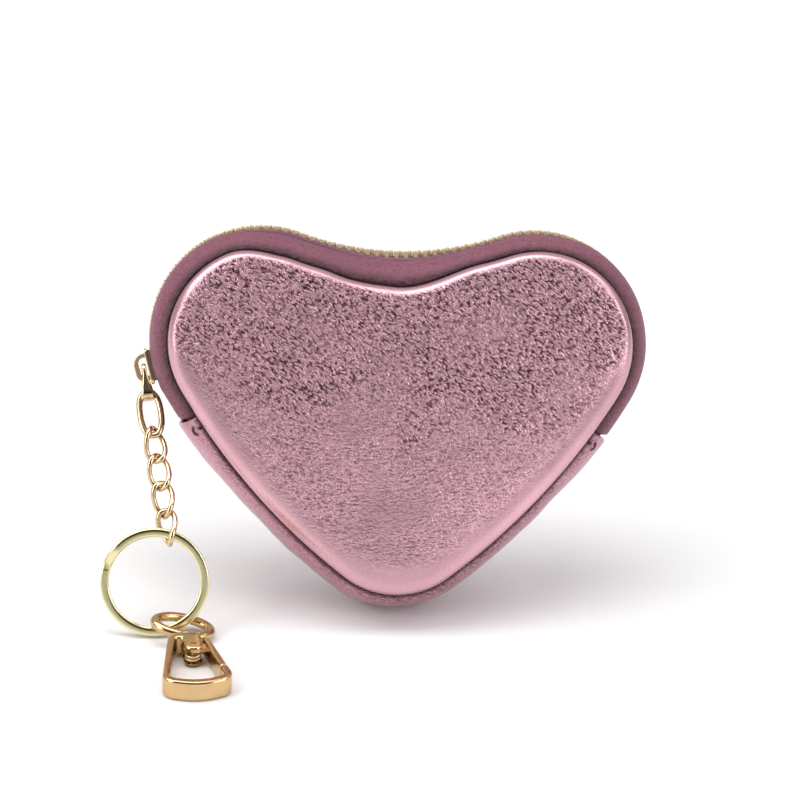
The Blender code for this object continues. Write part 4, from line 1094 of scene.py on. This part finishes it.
def build_pull():
    """The pull: a loop of strip, narrow through the bail and flaring down to its lower bar."""
    end = PULL_STRIP - PULL_LENGTH
    corners = (-PULL_TOP_HALF, 0), (PULL_TOP_HALF, 0), (PULL_END_HALF, end), (-PULL_END_HALF, end)
    line = rounded([(*corner, PULL_CORNER) for corner in corners], 14)
    fine = []
    for point, after in zip(line, line[1:] + line[:1]):
        pieces = max(1, int((after - point).length / 0.0004))
        fine += [point.lerp(after, step / pieces) for step in range(pieces)]
    rings = []
    for index, point in enumerate(fine):
        along = (fine[(index + 1) % len(fine)] - fine[index - 1]).normalized()
        normal = Vector((along.y, -along.x))
        deep = blend(PULL_TOP_DEPTH, 0.0029, smooth((point.y / end - 0.2) / 0.75))
        ring = []
        for turn in circle(1, 20):
            thick, broad = squared(turn, 0.6, PULL_STRIP, deep)
            spot = point + normal * thick
            ring.append(Vector((broad, spot.x, spot.y)))
        rings.append(ring)
    add_object("pull_loop", shell(rings, True), ROSE_GOLD, "pull", chain_matrix(0),
               ("slider_pull",))


# Chain and ring

def chain_start():
    window = SLIDER_CLEARANCE + SLIDER_PLATE + BAIL_WINDOW
    seat = window - math.hypot(PULL_STRIP, PULL_TOP_DEPTH) / 2 - CHAIN_GAP / 2
    return SLIDER @ Vector((0, PULL_SHIFT, LOBE_RADIUS + seat))


PULL_REACH = PULL_LENGTH - 1.5 * PULL_STRIP - CHAIN_GAP - OVAL_WIRE
RING_DEPTH = 2 * RING_COIL + RING_COIL_GAP
RING_MIDDLE = RING_DIAMETER / 2 - RING_BAND / 2


def link_distance(index):
    first = PULL_REACH + OVAL_LENGTH - OVAL_WIRE - OVAL_ROOM - LINK_WIRE / 2
    return first + (index - 1) * (LINK_LENGTH - 2 * LINK_WIRE - CHAIN_GAP)


CHAIN_LENGTH = link_distance(LINK_COUNT) + LINK_LENGTH - 1.5 * LINK_WIRE - RING_ROOM
CHAIN_LENGTH -= math.hypot(RING_BAND, RING_DEPTH) / 2


def chain_frame():
    """Place of the drawn chain's start, with +Z back up the chain."""
    below = RING_MIDDLE * math.sin(math.radians(RING_CONTACT_ANGLE)) + RING_DIAMETER / 2
    tilt = math.radians(RING_TILT)
    ring_height = below * math.cos(tilt) + RING_DEPTH / 2 * math.sin(tilt)
    drop = chain_start().z - FLOOR - ring_height
    forward = math.acos(drop / (CHAIN_LENGTH * math.cos(math.radians(CHAIN_DRIFT))))
    lean = Matrix.Rotation(-forward, 4, "X") @ turning(-CHAIN_DRIFT, "Y")
    return Matrix.Translation(chain_start()) @ lean


CHAIN = chain_frame()


def chain_matrix(distance, turn=0):
    return CHAIN @ Matrix.Translation((0, 0, -distance)) @ turning(turn, "Z")


VISIBLE_LINK_WIRE = 0.00125
VISIBLE_OVAL_WIRE = 0.00152
OVAL_STEPS = 72
LINK_STEPS = 64
RING_STEPS = 260
RING_MATRIX = Matrix.Translation(chain_matrix(CHAIN_LENGTH).translation) @ turning(-RING_TILT, "X")


def link_line(length, width, wire, twist, points):
    """The middle line of a link that hangs from its upper end and is twisted about its length."""
    line = []
    for turn in circle(1, points):
        across, height = squared(turn, 2 / LINK_SQUARENESS, width - wire, 2)
        spot = turning(twist / 2 * height, "Z", 3) @ Vector((across, 0, 0))
        line.append(spot + Vector((0, 0, (length - wire) / 2 * (height - 1))))
    return line


def build_chain():
    line = link_line(OVAL_LENGTH, OVAL_WIDTH, OVAL_WIRE, 0, OVAL_STEPS)
    wire = shell(tube_rings(line, VISIBLE_OVAL_WIRE / 2, 20, True), True)
    matrix = chain_matrix(PULL_REACH + OVAL_WIRE / 2)
    add_object("oval_wire", wire, ROSE_GOLD, "oval", matrix, ("oval_link",))
    line = link_line(LINK_LENGTH, LINK_WIDTH, LINK_WIRE, LINK_TWIST, LINK_STEPS)
    for index in range(1, LINK_COUNT + 1):
        wire = shell(tube_rings(line, VISIBLE_LINK_WIRE / 2, 18, True), True)
        matrix = chain_matrix(link_distance(index), LINK_TURN - (index - 1) * LINK_TURN_STEP)
        add_object(f"link_wire_{index}", wire, ROSE_GOLD, f"link_{index}", matrix,
                   (f"chain_link_{index}",))


def build_ring():
    """Two coils of flattened wire, stepping from one layer to the other at the split."""
    shift = (RING_COIL + RING_COIL_GAP) / 2
    half = RING_STEP_ANGLE / 2
    first = half + math.degrees(RING_COIL / RING_MIDDLE)
    centre = polar(RING_MIDDLE, RING_CONTACT_ANGLE)
    section = [squared(turn, 0.75, RING_BAND, RING_COIL) for turn in circle(1, 20, 9)]
    rings = []
    for angle in steps(first, 720 - first, RING_STEPS):
        layer = shift * (2 * smooth((angle - 360 + half) / RING_STEP_ANGLE) - 1)
        ring = []
        for out, across in section:
            spot = polar(RING_MIDDLE + out, RING_SPLIT_ANGLE + angle) - centre
            ring.append(Vector((spot.x, layer + across, spot.y)))
        rings.append(ring)
    add_object("ring_wire", shell(rings), RING_GOLD, "ring", RING_MATRIX,
               ("split_ring",))


# Swivel clasp: +Y of its own axes runs from the eye to the tip, +X across, +Z through its depth

CLASP_START = EYE_LENGTH / 2 + COLLAR_LENGTH
CLASP_INSIDE = CLASP_START + CLASP_HEAD
CLASP_TIP = CLASP_START + CLASP_LENGTH
CLASP_BASE = CLASP_TIP - CLASP_BULGE
NOSE = CLASP_BASE - NOSE_LENGTH
PIN = Vector((PIN_OFFSET, CLASP_INSIDE + PIN_SETBACK))
VISIBLE_CLASP_CORNER = 0.0036
VISIBLE_SPRING_WIRE = 0.0005
VISIBLE_SPRING_RADIUS = 0.00195


def clasp_matrix():
    """The clasp's place: its eye round the ring and its tip on the floor."""
    spoke = polar(RING_MIDDLE, HOOK_ANGLE) - polar(RING_MIDDLE, RING_CONTACT_ANGLE)
    seat = RING_MATRIX @ Vector((spoke.x, 0, spoke.y))
    pitch = math.asin((seat.z - FLOOR - CLASP_DEPTH / 2) / (CLASP_TIP + EYE_SEAT))
    turn = turning(180 + CLASP_YAW, "Z") @ Matrix.Rotation(-pitch, 4, "X")
    start = Matrix.Translation((0, EYE_SEAT, 0)) @ turning(180, "Y")
    return Matrix.Translation(seat) @ turn @ start


CLASP = clasp_matrix()
GATE = CLASP @ Matrix.Translation((*PIN, 0))


def build_eye():
    """The oval eye, with the collar and the rivet that the body turns on."""
    bar = EYE_WIRE / 2
    rim = EYE_LENGTH / 2
    width = EYE_WIDTH / 2 - bar
    points = [Vector((width * turn.x, (rim - bar) * turn.y, 0)) for turn in circle(1, 96)]
    end = CLASP_START - FIT_GAP
    head = CLASP_INSIDE + FIT_GAP
    collar = [(RIVET_RADIUS, rim - bar)]
    collar += [(COLLAR_RADIUS * share, level) for share, level in (
        (0.80, rim - bar * 0.5), (0.86, rim + 0.00005), (0.97, rim + 0.0002), (1, rim + 0.0004),
        (1, end - 0.0002), (0.95, end),
    )]
    collar += [(RIVET_RADIUS, end), (RIVET_RADIUS, head)]
    for share, rise in ((1, 0), (0.93, 0.45), (0.72, 0.8), (0.35, 0.97)):
        collar.append((RIVET_HEAD_RADIUS * share, head + RIVET_HEAD * rise))
    wire = tube_rings(points, bar, 28, True)
    work = carved("eye", ("LOOP", wire, 0.0), ("UNION", lathe(collar), 0.0))
    matrix = CLASP @ turning(-EYE_ROLL, "Y")
    add_object("eye_casting", work, CLASP_GOLD, "eye", matrix, ("clasp_eye",), 35)


def limb_half(along):
    """Half width of the clasp's outside at a distance from the eye."""
    share = (along - CLASP_INSIDE) / (CLASP_LENGTH - CLASP_HEAD - CLASP_BULGE)
    return blend(CLASP_HEAD_HALF, CLASP_BASE_HALF, share)


def build_hook():
    """The hook: a broad cast strip from the head round the base to the nose, open at the gate."""
    strip = CLASP_STRIP
    inner = CLASP_BASE - strip
    half = CLASP_DEPTH / 2
    left, right, top = PIN.x - LUG_RADIUS, PIN.x + LUG_RADIUS, PIN.y + LUG_RADIUS
    within = limb_half(inner) - strip
    outline = rounded([
        (limb_half(NOSE), NOSE, 0),
        (CLASP_BASE_HALF, CLASP_BASE, VISIBLE_CLASP_CORNER), (0, CLASP_TIP, CLASP_BELLY),
        (-CLASP_BASE_HALF, CLASP_BASE, VISIBLE_CLASP_CORNER),
        (-CLASP_HEAD_HALF, CLASP_INSIDE, strip),
        (-CLASP_NECK_HALF, CLASP_START, strip / 2), (CLASP_NECK_HALF, CLASP_START, strip / 2),
        (CLASP_HEAD_HALF, CLASP_INSIDE - FIT_GAP, strip / 4),
        (right, CLASP_INSIDE, 0), (right, top, LUG_CORNER),
        (left, top, LUG_CORNER), (left, CLASP_INSIDE, 0),
        (strip - CLASP_HEAD_HALF, CLASP_INSIDE, strip / 2),
        (-within, inner, CLASP_INNER_CORNER), (0, CLASP_TIP - strip, CLASP_BELLY),
        (within, inner, CLASP_INNER_CORNER),
        (limb_half(NOSE) - strip, NOSE + strip * NOSE_SLANT_SHARE, 0),
    ])
    spare = 0.0004
    bore = lathe([
        (RIVET_RADIUS + FIT_GAP, level) for level in (CLASP_START - spare, CLASP_INSIDE + spare)
    ])
    reach = half - LUG_THICKNESS
    slot = (
        (left - spare, CLASP_INSIDE), (right + spare, CLASP_INSIDE),
        (right + spare, top + spare), (left - spare, top + spare),
    )
    hole = [PIN + point for point in circle(PIN_RADIUS + 0.00005, 32)]
    work = carved(
        "hook",
        (None, prism(outline, -half, half), 0.0007),
        ("DIFFERENCE", bore, 0.0),
        ("DIFFERENCE", prism(slot, -reach, reach), 0.0),
        ("DIFFERENCE", prism(hole, -half - spare, half + spare), 0.0),
    )
    add_cast("hook_casting", work, CLASP_GOLD, "hook", CLASP, ("clasp_body",))


def build_gate():
    """The gate: an arm from the head to the nose, on a knuckle round the pin."""
    first = CLASP_INSIDE + FIT_GAP
    last = NOSE - FIT_GAP
    half = CLASP_DEPTH / 2 - FIT_GAP / 2
    arm = [Vector(corner) - PIN for corner in (
        (limb_half(first), first),
        (limb_half(last), last),
        (limb_half(last) - GATE_STRIP, last + GATE_STRIP * NOSE_SLANT_SHARE),
        (limb_half(first) - GATE_STRIP, first),
    )]
    reach = limb_half(PIN.y) - GATE_STRIP / 2 - PIN.x
    radius, corner = KNUCKLE_RADIUS, KNUCKLE_CORNER
    knuckle = rounded([
        (-radius, -radius, corner), (radius, -radius, corner / 2), (reach, -KNUCKLE_ARM / 2, 0),
        (reach, KNUCKLE_ARM / 2, 0), (radius, radius, corner / 2), (-radius, radius, corner),
    ])
    low = LUG_THICKNESS + FIT_GAP - CLASP_DEPTH / 2
    work = carved(
        "gate",
        (None, prism(arm, -half, half), 0.0006),
        ("UNION", prism(knuckle, low, low + KNUCKLE_HEIGHT), 0.0),
        ("DIFFERENCE", prism(circle(PIN_RADIUS + 0.0001, 32), -half, half), 0.0),
    )
    add_cast("gate_casting", work, CLASP_GOLD, "gate", GATE, ("clasp_gate",))


def build_pin_and_spring():
    """The pin with its riveted ends, and the torsion spring round it."""
    half = CLASP_DEPTH / 2
    ends = ((0.35, 0.0), (0.8, -0.00006), (1.0, -0.0002))
    profile = [(PIN_RADIUS * share, half + level) for share, level in ends]
    profile += [(radius, -level) for radius, level in profile[::-1]]
    pin = shell(lathe(profile, flat_place))
    add_object("pin_rod", pin, CLASP_GOLD, "hook", GATE, ("clasp_gate_pin",), 35)
    start = LUG_THICKNESS + 2 * FIT_GAP + KNUCKLE_HEIGHT + VISIBLE_SPRING_WIRE / 2 - half
    radius = VISIBLE_SPRING_RADIUS - VISIBLE_SPRING_WIRE / 2
    sides = 36
    points = []
    for step in range(sides * SPRING_TURNS + 1):
        turn = polar(radius, -90 + 360 * step / sides)
        points.append(flat_place(turn, start + SPRING_PITCH * step / sides))
    points.append(points[-1] + Vector((SPRING_LEG, 0, 0)))
    spring = shell(tube_rings(points, VISIBLE_SPRING_WIRE / 2, 14, False))
    add_object("spring_wire", spring, ZIP_GOLD, "gate", GATE, ("clasp_gate_spring",))


# Thread

STITCHES = ((0.0024, 36, 34, 0.0021), (0.0034, 37, -30, 0.0018), (0.0027, 14, -16, 0.0014))
STITCH_LIFT = 0.0002
STITCH_SINK = 0.0006


def build_tacks():
    """The dark tack stitches that hold the ends of the bottom gusset."""
    for end, sign, start in (("left", -1, LEFT_END), ("right", 1, RIGHT_END)):
        for side, face in ((-1, "front"), (1, "back")):
            work = bmesh.new()
            for travel, angle, turn, length in STITCHES:
                line = []
                for share in (-1.1, -1, -0.6, -0.2, 0.2, 0.6, 1, 1.1):
                    below = STITCH_LIFT * (share * share - 1)
                    below += STITCH_SINK if abs(share) > 1 else 0
                    across, along = polar(share * length / 2, turn)
                    seat = station(sign * (start + travel + along))
                    spot = dome(angle + math.degrees(across / SEAM_DEPTH), 0, below)
                    line.append(place(seat, spot.x, side * spot.y))
                skin(work, tube_rings(line, 0.00030, 10, False))
            add_object(f"{end}_{face}_tack", work, THREAD, "purse", PURSE, (), 60)


# Stage

FLOOR_HALF = 6.0
LIGHTS = (
    ("top_softbox", (-0.38, 0.0, 1.0), (0, 0, 0), (0.6, 1.7), 10.5),
    ("left_softbox", (-0.95, -0.6, 0.5), (0, 0, -0.03), (0.5, 0.7), 5.5),
    ("right_fill", (0.95, -0.7, 0.5), (0, 0, -0.03), (0.5, 0.7), 5.5),
    ("right_softbox", (0.75, 0.0, 0.85), (0, 0, 0), (0.4, 0.6), 2.0),
)
BEHIND = (0.0, 0.9), (0.5, 0.6), (0.75, 0.8), (1.0, 1.0)
BEFORE = (
    (0.0, 0.9), (0.49, 0.88), (0.585, 0.94), (0.62, 0.72), (0.65, 0.26), (0.685, 0.015),
    (0.87, 0.015), (0.93, 0.85), (1.0, 1.0),
)


def build_floor():
    work = bmesh.new()
    signs = (-1, -1), (1, -1), (1, 1), (-1, 1)
    corners = [(FLOOR_HALF * x, FLOOR_HALF * y, FLOOR) for x, y in signs]
    work.faces.new([work.verts.new(corner) for corner in corners])
    made = mesh_item("floor", work)
    paint = bpy.data.materials.new("floor_paper")
    paint.use_nodes = True
    made.data.materials.append(finish_material(paint, (0.84,) * 3, 0.6, specular=0.2))


def ramp(share, stops):
    """Greys along a share, from pairs of position and level."""
    colour = new_field(share.tree, "ValToRGB", {"Fac": share})
    elements = colour.socket.node.color_ramp.elements
    while len(elements) < len(stops):
        elements.new(0.5)
    for element, (position, level) in zip(elements, stops):
        element.position = position
        element.color = (level, level, level, 1)
    return colour


def build_light():
    """A studio that is dark high up in front, as the gold's reflections show, and four lights."""
    scene = bpy.context.scene
    scene.view_settings.view_transform = "Standard"
    scene.world = bpy.data.worlds.new("studio")
    scene.world.use_nodes = True
    tree = scene.world.node_tree
    direction = new_field(tree, "TexCoord", {}, "Generated")
    back, up = (new_field(tree, "SeparateXYZ", {0: direction}, axis) for axis in "YZ")
    level = up * 0.5 + 0.5
    front = (back * -2.2 - 0.15).clamped()
    background = tree.nodes["Background"]
    feed(background.inputs["Color"], mix(front, ramp(level, BEHIND), ramp(level, BEFORE)))
    background.inputs["Strength"].default_value = 0.75
    for name, spot, aim, size, power in LIGHTS:
        data = bpy.data.lights.new(name, "AREA")
        data.shape = "RECTANGLE"
        data.size, data.size_y = size
        data.energy = power
        made = add_item(name, data)
        made.location = spot
        made.rotation_euler = (Vector(aim) - Vector(spot)).to_track_quat("-Z", "Y").to_euler()


def build_camera():
    turned = turning(AZIMUTH, "Z") @ turning(90 - ELEVATION, "X") @ turning(ROLL, "Z")
    across = (IMAGE / 2 - POINT_PIXEL[0]) * METRES_PER_PIXEL
    above = (POINT_PIXEL[1] - IMAGE / 2) * METRES_PER_PIXEL
    away = Matrix.Translation((across, above, DISTANCE))
    data = bpy.data.cameras.new("camera")
    data.sensor_width = SENSOR
    data.lens = SENSOR * DISTANCE / (IMAGE * METRES_PER_PIXEL)
    made = add_item("camera", data)
    made.matrix_world = Matrix.Translation(PURSE.translation) @ turned @ away
    bpy.context.scene.camera = made


build_camera()
build_light()
build_floor()
build_half(-1, "front")
build_half(1, "back")
build_gusset()
build_chain()
build_ring()
build_slider()
build_stops()
build_pull()
build_eye()
build_hook()
build_gate()
build_pin_and_spring()
build_tacks()
